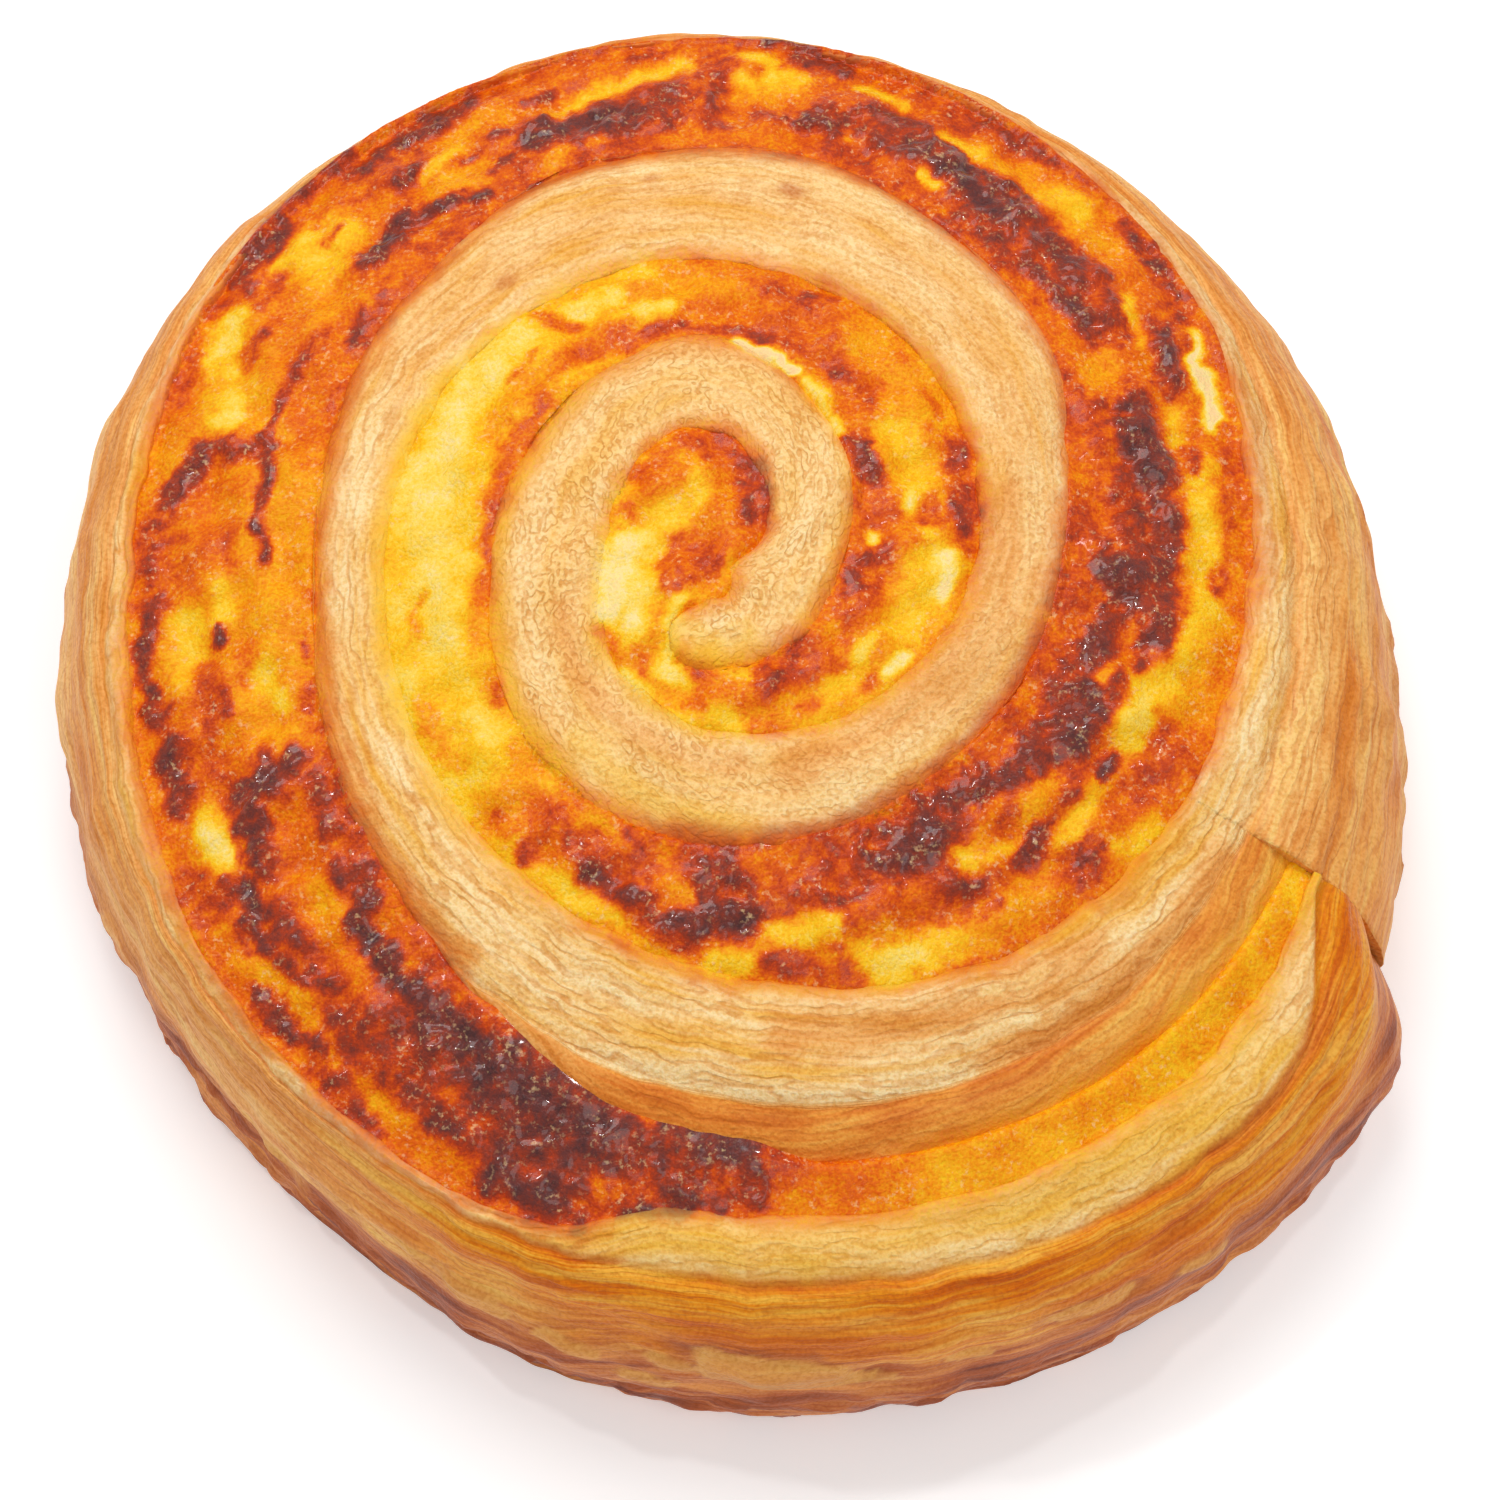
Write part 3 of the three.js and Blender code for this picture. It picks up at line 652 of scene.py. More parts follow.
def paint_cheese(x, y):
    """How far the cheese is baked at each place: the average along the roll, and the strokes."""
    radius, angle, low, high, _ = find_band(x, y)
    share = (radius - low) / (high - low)
    level = bake_along(angle) + 0.05 * cloud(x / 4, y / 4, 41, 2)
    level = np.where(share < INNER_EDGE, level + INNER_EDGE_BAKE, level)
    sway_x = x + 0.45 * cloud(x / 2.1, y / 2.1, 43, 2)
    sway_y = y + 0.45 * cloud(x / 2.1, y / 2.1, 47, 2)
    fray = cloud(x / 1.1, y / 1.1, 53, 3)
    for heat, strokes in CHEESE_STROKES:
        level = brush(sway_x, sway_y, level, strokes, cheese_spot, fray, heat)
    mottle = ease(level, AMBER, RED)
    level += mottle * (0.11 * cloud(x / 1.3, y / 1.3, 59, 3) + 0.08 * cloud(x / 0.6, y / 0.6, 61))
    level += (1 - mottle) * 0.035 * cloud(x / 1.2, y / 1.2, 67, 2)
    return np.clip(level, 0, 1)


# ---- Meshes -----------------------------------------------------------------------------------


def grid_skin(columns, rows):
    """A flat sheet whose points keep their place across it, both ways from 0 to 1."""
    bm = bmesh.new()
    bmesh.ops.create_grid(bm, x_segments=columns, y_segments=rows, size=0.5)
    station = bm.verts.layers.float_vector.new("station")
    for vert in bm.verts:
        vert[station] = (vert.co.x + 0.5, vert.co.y + 0.5, 0)
    return bm, station


def stations(bm, station):
    return np.array([vert[station] for vert in bm.verts])[:, :2].T


def put(bm, x, y, z):
    for vert, co in zip(bm.verts, np.stack([x, y, z], 1) * MM):
        vert.co = co


def new_object(name, data):
    item = bpy.data.objects.new(name, data)
    bpy.context.scene.collection.objects.link(item)
    return item


def mesh_object(name, bm):
    mesh = bpy.data.meshes.new(name)
    bm.to_mesh(mesh)
    bm.free()
    return new_object(name, mesh)


def to_piece(bm, name, node):
    piece = mesh_object(name, bm)
    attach(piece, "root")
    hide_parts(node)
    return piece


def read_vectors(data, field):
    values = np.empty(len(data) * 3)
    data.foreach_get(field, values)
    return values.reshape(-1, 3).T


def mesh_points(mesh):
    return read_vectors(mesh.vertices, "co") / MM


def read_stations(mesh):
    return read_vectors(mesh.attributes["station"].data, "vector")[:2]


def store(mesh, **values):
    """Keeps one number a point for the material to read."""
    for name, value in values.items():
        layer = mesh.attributes.new(name, "FLOAT", "POINT")
        layer.data.foreach_set("value", np.asarray(value, np.float32))


def store_vector(mesh, name, x, y):
    layer = mesh.attributes.new(name, "FLOAT_VECTOR", "POINT")
    flat = np.stack([x, y, np.zeros(len(x))], 1).astype(np.float32)
    layer.data.foreach_set("vector", flat.ravel())


CHEESE_CELL = 0.34
CHEESE_MARGIN = 3
CHEESE_OVERHANG = 0.35
HEM_DROP = 2.5
HEM_INSET = 0.5
HEM_LOWEST = 1


def tuck_in(verts):
    """Brings the sides of the cheese in under the dough that it laps over, and down a little."""
    co = np.array([vert.co for vert in verts]) / MM
    radius, angle, low, high, _ = find_band(co[:, 0], co[:, 1])
    inset = np.minimum(HEM_INSET, (high - low) / 4)
    x, y = plan(angle, np.clip(radius, low + inset, high - inset))
    z = np.maximum(co[:, 2] - HEM_DROP, HEM_LOWEST)
    for vert, place in zip(verts, np.stack([x, y, z], 1) * MM):
        vert.co = place


def extrude_ring(bm, ring):
    """Extrudes open edges in place: the new points, and the new open edges."""
    made = bmesh.ops.extrude_edge_only(bm, edges=ring)["geom"]
    verts = [item for item in made if isinstance(item, bmesh.types.BMVert)]
    edges = [item for item in made if isinstance(item, bmesh.types.BMEdge)]
    return verts, [edge for edge in edges if edge.is_boundary]


def shade_smooth(bm):
    bmesh.ops.recalc_face_normals(bm, faces=bm.faces)
    for face in bm.faces:
        face.smooth = True


def make_cheese():
    """The cheese in the eye and between the turns, as one closed heap with a flat base."""
    low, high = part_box("cheese_filling")
    x0, y0 = low.x / MM - CHEESE_MARGIN, low.y / MM - CHEESE_MARGIN
    x1, y1 = high.x / MM + CHEESE_MARGIN, high.y / MM + CHEESE_MARGIN
    bm, station = grid_skin(round((x1 - x0) / CHEESE_CELL), round((y1 - y0) / CHEESE_CELL))
    u, v = stations(bm, station)
    x, y = lerp(x0, x1, u), lerp(y0, y1, v)
    put(bm, x, y, np.zeros(len(x)))
    radius, angle, inner_side, outer_side, depth = find_band(x, y)
    beyond = past_laps(angle, radius, inner_side, outer_side)
    kept = (beyond < CHEESE_OVERHANG) & (depth > OUTSIDE)
    spare = [vert for vert, keep in zip(bm.verts, kept) if not keep]
    bmesh.ops.delete(bm, geom=spare, context="VERTS")
    loose = [vert for vert in bm.verts if not vert.link_faces]
    bmesh.ops.delete(bm, geom=loose, context="VERTS")

    co = np.array([vert.co for vert in bm.verts]) / MM
    x, y = co[:, 0], co[:, 1]
    put(bm, x, y, cheese_height(x, y, paint_cheese(x, y)))
    hem, ring = extrude_ring(bm, [edge for edge in bm.edges if edge.is_boundary])
    tuck_in(hem)
    foot, ring = extrude_ring(bm, ring)
    for vert in foot:
        vert.co.z = 0
    bmesh.ops.triangle_fill(bm, use_beauty=False, use_dissolve=False, edges=ring)
    shade_smooth(bm)

    piece = to_piece(bm, "baked_cheese", "cheese_filling")
    x, y, _ = mesh_points(piece.data)
    store(piece.data, bake=paint_cheese(x, y))
    return piece


# ---- The dough --------------------------------------------------------------------------------

STATION_LENGTH = 0.45
STRIP_STEP = 0.5
CREASE_SHELF = 0.9

# Stretches of the strip's cross-section in order round it, and the rows of points on each. The
# outermost turn has no slope.
BASE, SIDE, SLOPE, TOP, INNER = range(5)
TURN_ROWS = (3, 4, 10, 42, 4)
WALL_ROWS = (4, 62, 0, 20, 5)


def along_strip():
    """Distance along the middle of the strip as a function of the turn angle, and its inverse."""
    angles = np.arange(TIP_ANGLE, TAIL_ANGLE + STRIP_STEP, STRIP_STEP)
    inner, outer = strip_faces(angles)[:2]
    steps = np.radians(STRIP_STEP) * (inner + outer) / 2
    length = np.concatenate([[0], np.cumsum(steps[1:])])
    return (lambda angle: np.interp(angle, angles, length),
            lambda distance: np.interp(distance, length, angles))


distance_at, angle_at = along_strip()


def angle_between(start, end, share):
    """The turn angle at a share of the strip's length between two turn angles."""
    return angle_at(lerp(distance_at(start), distance_at(end), share))


def split(v, rows):
    """Which stretch of the cross-section a point is on, and how far along that stretch it is."""
    bounds = np.concatenate([[0], np.cumsum(rows)]) / sum(rows)
    stretch = np.clip(np.searchsorted(bounds, v + 1e-6, side="right") - 1, 0, len(rows) - 1)
    return stretch, clamp((v - bounds[stretch]) / (bounds[stretch + 1] - bounds[stretch]))


def wandering_edges(angle):
    """Radii of the strip's two top edges, with the small unevenness of baked dough."""
    inner, outer = strip_faces(angle)[:2]
    along = distance_at(angle) / EDGE_WANDER_LENGTH
    inner = inner + EDGE_WANDER * cloud(along, angle * 0, 83, 2)
    return inner, outer + EDGE_WANDER * cloud(along, angle * 0, 89, 2)


def top_relief(along, across):
    """Low folds and fine layer lines of the cut dough."""
    folds = 0.09 * cloud(along / 11, across / 2.1, 71, 2)
    layers = 0.07 * cloud(along / 6, across / 0.75, 73, 2)
    return folds + layers + 0.035 * cloud(along / 0.9, across / 0.7, 79, 2)


def turn_section(angle, v):
    """The inner turns, seen on top only: radius, height, distance across, and the stretch."""
    foot, opened = strip_faces(angle)[2:]
    inner, outer = wandering_edges(angle)
    foot = np.maximum(foot, outer)
    edge = edge_height(angle, outer)
    shelf = edge - CREASE_DEPTH * opened - CREASE_SHELF
    stretch, t = split(v, TURN_ROWS)
    width = outer - inner
    share = np.select([stretch < TOP, stretch == TOP], [1 + 0 * t, 1 - t], 0)
    stretches = [stretch == BASE, stretch == SIDE, stretch == SLOPE, stretch == TOP]
    radii = [lerp(inner, foot, t), foot, lerp(foot, outer, t), lerp(inner, outer, share)]
    radius = np.select(stretches, radii, inner)
    top = dough_top(angle, radius, inner, outer)
    slope = lerp(shelf, edge, np.sin(t * math.pi / 2))
    heights = [0 * t, shelf * t, slope, top]
    height = np.select(stretches, heights, edge_height(angle, inner) * (1 - t))
    across = np.select(
        [stretch == TOP, stretch < TOP], [share * width, width + (foot - radius)], 0)
    on_top = (stretch == TOP) | ((stretch == SLOPE) & (opened > 0.01))
    height = height + np.where(on_top, top_relief(distance_at(angle), across), 0)
    return radius, height, across, stretch


WALL_HEIGHT = 24
WALL_LENGTH = 30
WALL_INSET = 0.45
ROWS_BELOW_BELLY = 0.3
LEAST_TOP_WIDTH = 0.5
FLAKES_RISE = (1050, 1058)
FLAKES_FALL = (1095, 1125)


def wall_relief(angle, along, down, share):
    """Long streaks of layers on the outer wall, a rough foot, and flakes on its right side."""
    streaks = 0.3 * cloud(along / 16, down / 2.2, 97, 2)
    streaks = streaks + 0.16 * cloud(along / 7, down / 0.9, 101, 2)
    crust = ease(0.55 - share, 0, 0.25)
    bump, chance = blebs(along / 3.1, down / 1.7, 103)
    blister = ease(0.7 - bump, 0, 0.5) * ease(chance, 0.45, 0.6)
    rough = crust * (0.3 * blister + 0.14 * cloud(along / 1.6, down / 1.1, 107, 3))
    flaky = ease(angle, *FLAKES_RISE) * (1 - ease(angle, *FLAKES_FALL)) * ease(share, 0.2, 0.5)
    flakes = 0.5 * np.abs(cloud(along / 9, down / 1.7, 113, 2)) - 0.2
    return streaks + rough + flaky * flakes


# Golden blisters on the front of the wall: turn angle, share of the height, half sizes, height
BLISTERS = (
    (1355.5, 0.62, 6.0, 2.9, 0.85), (1326, 0.66, 2.2, 1.0, 0.4), (1332, 0.62, 3.0, 1.2, 0.45),
    (1340, 0.58, 2.6, 1.2, 0.45), (1348, 0.62, 1.8, 0.9, 0.4), (1363, 0.52, 1.7, 0.8, 0.35),
    (1370, 0.6, 1.9, 0.9, 0.4), (1379, 0.7, 3.4, 1.1, 0.45), (1318, 0.6, 2.0, 0.9, 0.35),
    (1388, 0.62, 2.2, 0.9, 0.35), (1311, 0.5, 1.8, 0.8, 0.3), (1346, 0.45, 2.2, 0.8, 0.3),
)
BLISTER_LEAN = 0.35
BLISTER_ROUNDNESS = 2.4


def blister_marks(angle, along, down, share):
    """How far the blisters raise each point of the wall, how golden they make it, and how
    browned it is round them."""
    raised = np.zeros(np.shape(angle))
    golden = np.zeros(np.shape(angle))
    ring = np.zeros(np.shape(angle))
    for centre, level, half_long, half_tall, height in BLISTERS:
        dx = (along - distance_at(centre)) / half_long
        dy = (share - level) * WALL_HEIGHT / half_tall + BLISTER_LEAN * dx
        reach = np.abs(dx) ** BLISTER_ROUNDNESS + np.abs(dy) ** BLISTER_ROUNDNESS
        reach = reach ** (1 / BLISTER_ROUNDNESS)
        reach = reach * (1 + 0.12 * cloud(along / 1.5, down / 1.5, 109))
        raised = np.maximum(raised, height * np.sqrt(clamp(1 - reach)))
        inside = 1 - ease(reach, 0.95, 1.12)
        golden = np.maximum(golden, inside * lerp(0.65, 1, ease(reach, 0.7, 0.95)))
        ring = np.maximum(ring, ease(reach, 0.9, 1.1) * (1 - ease(reach, 1.15, 1.6)))
    return raised, golden, ring


def wall_section(angle, v):
    """The outermost turn with its wall: radius, height, distance across, stretch, share of the
    top, the wall's level, and the gold and brown of its blisters."""
    along = distance_at(angle)
    inner, outer = wandering_edges(angle)
    outer = np.maximum(outer, inner + LEAST_TOP_WIDTH)
    taper = ease(angle, TAIL_TAPER_FROM, TAIL_ANGLE)
    drawn_in = np.maximum(outer - inner - TAIL_TIP_WIDTH, 0) * taper * taper
    outer = outer - drawn_in
    fuller = 1 + drawn_in / belly_curve(angle)
    edge = edge_height(angle, outer)
    stretch, t = split(v, WALL_ROWS)
    above = clamp((t - ROWS_BELOW_BELLY) / (1 - ROWS_BELOW_BELLY))
    rise = np.where(t < ROWS_BELOW_BELLY, BELLY_LEVEL * t / ROWS_BELOW_BELLY,
                    lerp(BELLY_LEVEL, 1, np.sin(above * math.pi / 2)))
    level = np.select([stretch == BASE, stretch == SIDE], [0 * t, rise], 1)
    bulge = wall_bulge(angle, level) * fuller
    down = (1 - t) * WALL_LENGTH
    raised, golden, ring = blister_marks(angle, along, down, level)
    skin = wall_relief(angle, along, down, level) - WALL_INSET
    fade = ease(1 - level, 0.0, 0.05) * ease(level, 0.0, 0.03)
    wall = outer + bulge + fade * (skin + raised)
    toe = outer + wall_bulge(angle, 0 * t) * fuller
    share = np.select([stretch < TOP, stretch == TOP], [1 + 0 * t, 1 - t], 0)
    stretches = [stretch == BASE, stretch == SIDE, stretch == TOP]
    radii = [lerp(inner, toe, t), wall, lerp(inner, outer, share)]
    radius = np.select(stretches, radii, inner)
    across = np.select([stretch == SIDE, stretch == TOP],
                       [outer - inner + down, share * (outer - inner)], 0)
    top = dough_top(angle, radius, inner, outer) + top_relief(along, across)
    heights = [0 * t, level * edge, top]
    height = np.select(stretches, heights, edge_height(angle, inner) * (1 - t))
    return radius, height, across, stretch, share, level, golden, ring


def wrap_dough(start, end, rows, section):
    """A closed length of the strip: a sheet wrapped round its cross-section and capped."""
    length = distance_at(end) - distance_at(start)
    bm, station = grid_skin(round(length / STATION_LENGTH), sum(rows))
    u, v = stations(bm, station)
    angle = angle_between(start, end, u)
    radius, height = section(angle, v)[:2]
    x, y = plan(angle, radius)
    put(bm, x, y, under_limit(np.maximum(height, 0)))
    bmesh.ops.remove_doubles(bm, verts=bm.verts, dist=1e-6)
    ends = [edge for edge in bm.edges if edge.is_boundary]
    caps = bmesh.ops.holes_fill(bm, edges=ends, sides=0)["faces"]
    caps = bmesh.ops.triangulate(bm, faces=caps)["faces"]
    shade_smooth(bm)
    for face in caps:
        face.smooth = False
    return bm


# Strokes of colour over the dough: (strength, half width, mark, mark, ...)
DOUGH_TINTS = {
    "gold": (
        (0.2, 4.0, (690, .5), (780, .5), (860, .5)),
        (0.35, 1.2, (485, .95), (540, .95), (600, .95)),
        (0.45, 2.0, (655, .35), (700, .35), (735, .35)),
        (0.7, 1.4, (790, 1.0), (850, .97), (900, .95), (960, .95)),
        (0.3, 1.0, (870, .1), (930, .1)),
        (0.5, 1.8, (1000, .45), (1035, .45)),
        (0.6, 1.2, (1020, .95), (1052, .9)),
        (0.35, 1.0, (560, .35), (640, .3)),
        (0.4, 1.5, (420, .95), (470, .9)),
    ),
    "yellow": (
        (0.9, 2.4, (262, .95), (290, .95)),
        (0.5, 1.0, (500, .95), (600, .95)),
        (0.7, 1.4, (860, .05), (930, .08)),
        (0.5, 1.4, (250, .5), (262, .5)),
        (0.5, 1.6, (640, .9), (600, .7)),
        (0.6, 1.0, (985, .0), (1055, .0)),
        (0.5, 1.0, (330, .95), (420, 1.0)),
        (0.45, 2.6, (1346, .5), (1400, .4)),
    ),
    "rust": (
        (0.55, 1.0, (625, .97), (720, .98)),
        (0.55, 1.0, (722, .0), (790, .0)),
        (0.35, 0.9, (345, 1.0), (390, 1.0)),
        (0.5, 0.7, (798, .65), (799, .66)),
        (0.45, 0.6, (816, .7), (817, .7)),
        (0.4, 0.6, (840, .35), (841, .36)),
        (0.5, 0.9, (600, .0), (620, .0)),
        (0.25, 1.1, (1082, .5), (1130, .5)),
    ),
}


def tint(x, y, name, seed):
    """How strongly the named strokes colour each place."""
    fray = cloud(x / 1.6, y / 1.6, seed, 3)
    return brush(x, y, np.zeros(len(x)), DOUGH_TINTS[name], dough_spot, fray)


def cheese_stain(x, y):
    """How much the dough's edge takes on the colour of the cheese beside it."""
    depth = find_band(x, y)[-1]
    fray = 0.7 * cloud(x / 1.4, y / 1.4, 239, 3) + 0.5 * cloud(x / 4, y / 4, 241)
    return 0.85 * ease(depth, -2.3 - fray, 0.5)


def dye(piece, angle, across, on_top, gold, crust, blister):
    """Stores what the dough's finish reads at each point."""
    mesh = piece.data
    x, y, _ = mesh_points(mesh)
    along = distance_at(angle)
    bake = paint_cheese(x, y)
    drawn_out = np.maximum(ease(angle, *LINES_DRAWN_OUT), 1 - on_top)
    streaks = 0.42 + lerp(0.16, 0.3, drawn_out) * cloud(along / 15, across / 1.5, 251, 3)
    streaks += 0.1 * cloud(along / 4, across / 2.5, 257)
    ink = 0.6 + 0.35 * cloud(along / 3, across / 1.6, 263, 2)
    stain = cheese_stain(x, y) * on_top
    gold = np.maximum(gold, tint(x, y, "gold", 211) * on_top)
    gold = np.maximum(gold, 0.5 * stain)
    store_vector(mesh, "strip", along, across)
    store(mesh, gold=clamp(gold), yellow=tint(x, y, "yellow", 223) * on_top,
          rust=clamp(tint(x, y, "rust", 227)), crust=clamp(crust), blister=blister,
          bands=clamp(streaks), lines=clamp(ink) * lerp(0.8, 0.5, gold), bake=bake,
          drawn_out=drawn_out, stain=stain)
    mesh.attributes.remove(mesh.attributes["station"])


# Where the inner turns end inside the outermost one, and how they shrink from sight there
JOIN_ANGLE = 1055.6
JOIN_OVERLAP = 1.2
HIDDEN_FROM = 0.5
HIDDEN_FULL = 1.1
HIDDEN_NARROWING = 0.04
HIDDEN_SINK = 0.25
HIDDEN_ABOVE = 2

# How golden the slope to the crease is, and the turn angles or shares between which a look
# of the dough comes on or, for the flaky wall, goes off
SLOPE_GOLD = 0.85
TAIL_SEAM = (1338, 1350)
SEAM_EDGE = (0.86, 1.0)
FRONT_WALL = (1300, 1345)
FLAKY_WALL = (1060, 1130)
LINES_DRAWN_OUT = (560, 960)


def make_turns():
    """The strip from its nose in the eye to where the outermost turn takes over."""
    end = JOIN_ANGLE + JOIN_OVERLAP

    def section(angle, v):
        radius, height = turn_section(angle, v)[:2]
        hidden = ease(angle, JOIN_ANGLE + HIDDEN_FROM, JOIN_ANGLE + HIDDEN_FULL)
        inner, outer = strip_faces(angle)[:2]
        radius = lerp(radius, (inner + outer) / 2, HIDDEN_NARROWING * hidden)
        return radius, height - HIDDEN_SINK * hidden * (height > HIDDEN_ABOVE)

    bm = wrap_dough(TIP_ANGLE, end, TURN_ROWS, section)
    piece = to_piece(bm, "rolled_dough", "dough")
    u, v = read_stations(piece.data)
    angle = angle_between(TIP_ANGLE, end, u)
    across, stretch = turn_section(angle, v)[2:]
    slope = (stretch == SLOPE) * strip_faces(angle)[3]
    nothing = np.zeros(len(angle))
    dye(piece, angle, across, nothing + 1, SLOPE_GOLD * slope, nothing, nothing)
    return piece


def make_outer_turn():
    """The outermost turn, with the wall of the pastry and its tail."""
    bm = wrap_dough(JOIN_ANGLE, TAIL_ANGLE, WALL_ROWS, wall_section)
    piece = to_piece(bm, "outer_dough", "dough")
    u, v = read_stations(piece.data)
    angle = angle_between(JOIN_ANGLE, TAIL_ANGLE, u)
    across, stretch, share, level, golden, ring = wall_section(angle, v)[2:]
    along = distance_at(angle)
    seam = ease(share, *SEAM_EDGE) * lerp(0.5, 1.0, ease(angle, *TAIL_SEAM))
    wall = np.where(stretch == TOP, seam, 1.0)
    front = ease(angle, *FRONT_WALL)
    flaky = 1 - ease(angle, *FLAKY_WALL)
    gold = wall * (0.6 + 0.4 * front + 0.15 * cloud(along / 20, across / 3, 229, 2))
    crust_top = lerp(0.5, 0.74, front) + 0.08 * cloud(along / 5, across / 2, 233, 2)
    foot = ease(crust_top - level, 0, 0.2)
    browned = np.maximum(foot * (1 - 0.6 * flaky), 0.7 * ring)
    crust = np.select([stretch == SIDE, stretch == BASE], [browned, 1.0 + 0 * browned], 0.0)
    on_top = ((stretch == TOP) | (level > 0.97)).astype(float)
    dye(piece, angle, across, on_top, gold, crust, golden * (stretch == SIDE))
    return piece


# ---- Materials --------------------------------------------------------------------------------

# A colour Mix node's sockets
FACTOR, COLOUR_A, COLOUR_B, RESULT = 0, 6, 7, 2


def shade(red, green, blue):
    """A linear colour from the 0 to 255 values that a picture shows."""
    def linear(value):
        c = value / 255
        return c / 12.92 if c <= 0.04045 else ((c + 0.055) / 1.055) ** 2.4
    return (linear(red), linear(green), linear(blue), 1)


def add(tree, kind, settings=(), **inputs):
    """A new node with its settings, and its inputs linked or set."""
    node = tree.nodes.new(kind)
    for name, value in dict(settings).items():
        setattr(node, name, value)
    for name, value in inputs.items():
        fill(tree, node.inputs[name.replace("_", " ")], value)
    return node


def fill(tree, socket, value):
    if isinstance(value, bpy.types.NodeSocket):
        tree.links.new(value, socket)
    else:
        socket.default_value = value


def sums(tree, operation, a, b=0.0, clip=False):
    node = tree.nodes.new("ShaderNodeMath")
    node.operation = operation
    node.use_clamp = clip
    fill(tree, node.inputs[0], a)
    fill(tree, node.inputs[1], b)
    return node.outputs[0]


def times(tree, a, b):
    return sums(tree, "MULTIPLY", a, b)


def plus(tree, a, b, clip=False):
    return sums(tree, "ADD", a, b, clip)


def about_middle(tree, value, strength):
    """A value's distance from one half, times a strength."""
    return times(tree, sums(tree, "SUBTRACT", value, 0.5), strength)


def mixed(tree, share, a, b, blend="MIX"):
    node = tree.nodes.new("ShaderNodeMix")
    node.data_type = "RGBA"
    node.blend_type = blend
    fill(tree, node.inputs[FACTOR], share)
    fill(tree, node.inputs[COLOUR_A], a)
    fill(tree, node.inputs[COLOUR_B], b)
    return node.outputs[RESULT]


def ramp(tree, value, stops):
    """A colour ramp; each stop is a place and a colour or a grey value."""
    node = add(tree, "ShaderNodeValToRGB", Fac=value)
    elements = node.color_ramp.elements
    while len(elements) < len(stops):
        elements.new(0.5)
    for element, (place, colour) in zip(elements, stops):
        element.position = place
        element.color = colour if isinstance(colour, tuple) else (colour, colour, colour, 1)
    return node.outputs[0]


def noise(tree, vector, size, detail=2.0, roughness=0.5):
    """Noise with humps of the given size in metres, or in the units of the vector."""
    node = add(tree, "ShaderNodeTexNoise", Vector=vector, Scale=1 / size, Detail=detail,
               Roughness=roughness)
    return node.outputs[0]


def attribute(tree, name, output="Fac"):
    return add(tree, "ShaderNodeAttribute", {"attribute_name": name}).outputs[output]


def stretched(tree, vector, x, y):
    """Coordinates divided by a length along and a length across."""
    return add(tree, "ShaderNodeMapping", Vector=vector, Scale=(1 / x, 1 / y, 1)).outputs[0]


def new_group(name, output, kind, **inputs):
    """A shader node group with named inputs and one output, and the sockets inside it."""
    group = bpy.data.node_groups.new(name, "ShaderNodeTree")
    for label, input_kind in inputs.items():
        group.interface.new_socket(label, in_out="INPUT", socket_type=input_kind)
    group.interface.new_socket(output, in_out="OUTPUT", socket_type=kind)
    given = group.nodes.new("NodeGroupInput")
    result = group.nodes.new("NodeGroupOutput")
    return group, given.outputs, result.inputs[output]


def use_group(tree, group, **inputs):
    return add(tree, "ShaderNodeGroup", {"node_tree": group}, **inputs).outputs[0]


def grain_group():
    """Fine baked grain: a value about 0.5 that varies, also read as a height for bumps."""
    group, given, result = new_group("baked grain", "Value", "NodeSocketFloat",
                                     Vector="NodeSocketVector", Size="NodeSocketFloat")
    scale = sums(group, "DIVIDE", 1.0, given["Size"])
    fine = add(group, "ShaderNodeTexNoise", Vector=given["Vector"], Scale=scale, Detail=1.0,
               Roughness=0.6)
    fill(group, result, fine.outputs[0])
    return group


CHEESE_SHADES = (
    (BARE, shade(248, 206, 146)), (CREAM, shade(247, 221, 146)), (PALE, shade(248, 211, 88)),
    (YELLOW, shade(247, 192, 24)), (AMBER, shade(241, 150, 4)), (ORANGE, shade(229, 106, 2)),
    (RUST, shade(210, 78, 8)), (RED, shade(188, 60, 14)), (BROWN, shade(160, 54, 24)),
    (DARK, shade(126, 48, 34)), (CHAR, shade(100, 46, 42)), (1.0, shade(74, 38, 38)),
)


def cheese_shades_group():
    """The colour of cheese for how far it is baked."""
    group, given, result = new_group("cheese shades", "Color", "NodeSocketColor",
                                     Bake="NodeSocketFloat")
    fill(group, result, ramp(group, given["Bake"], CHEESE_SHADES))
    return group


def new_material(name):
    material = bpy.data.materials.new(name)
    material.use_nodes = True
    tree = material.node_tree
    tree.nodes.clear()
    surface = tree.nodes.new("ShaderNodeBsdfPrincipled")
    output = tree.nodes.new("ShaderNodeOutputMaterial")
    tree.links.new(surface.outputs[0], output.inputs["Surface"])
    place = add(tree, "ShaderNodeTexCoord").outputs["Object"]
    return material, tree, surface, place


def set_surface(tree, surface, values):
    for name, value in values.items():
        fill(tree, surface.inputs[name], value)


CHEESE_GRAIN = 0.33 * MM
# Painted glints: small pale flecks of painted highlight in clusters over the cheese, with their
# size, the size of their clusters and their colour
PAINTED_GLINT_SIZE = 0.5 * MM
PAINTED_GLINT_CLUSTERS = 2.5 * MM
PAINTED_GLINT_SHADE = shade(252, 214, 156)


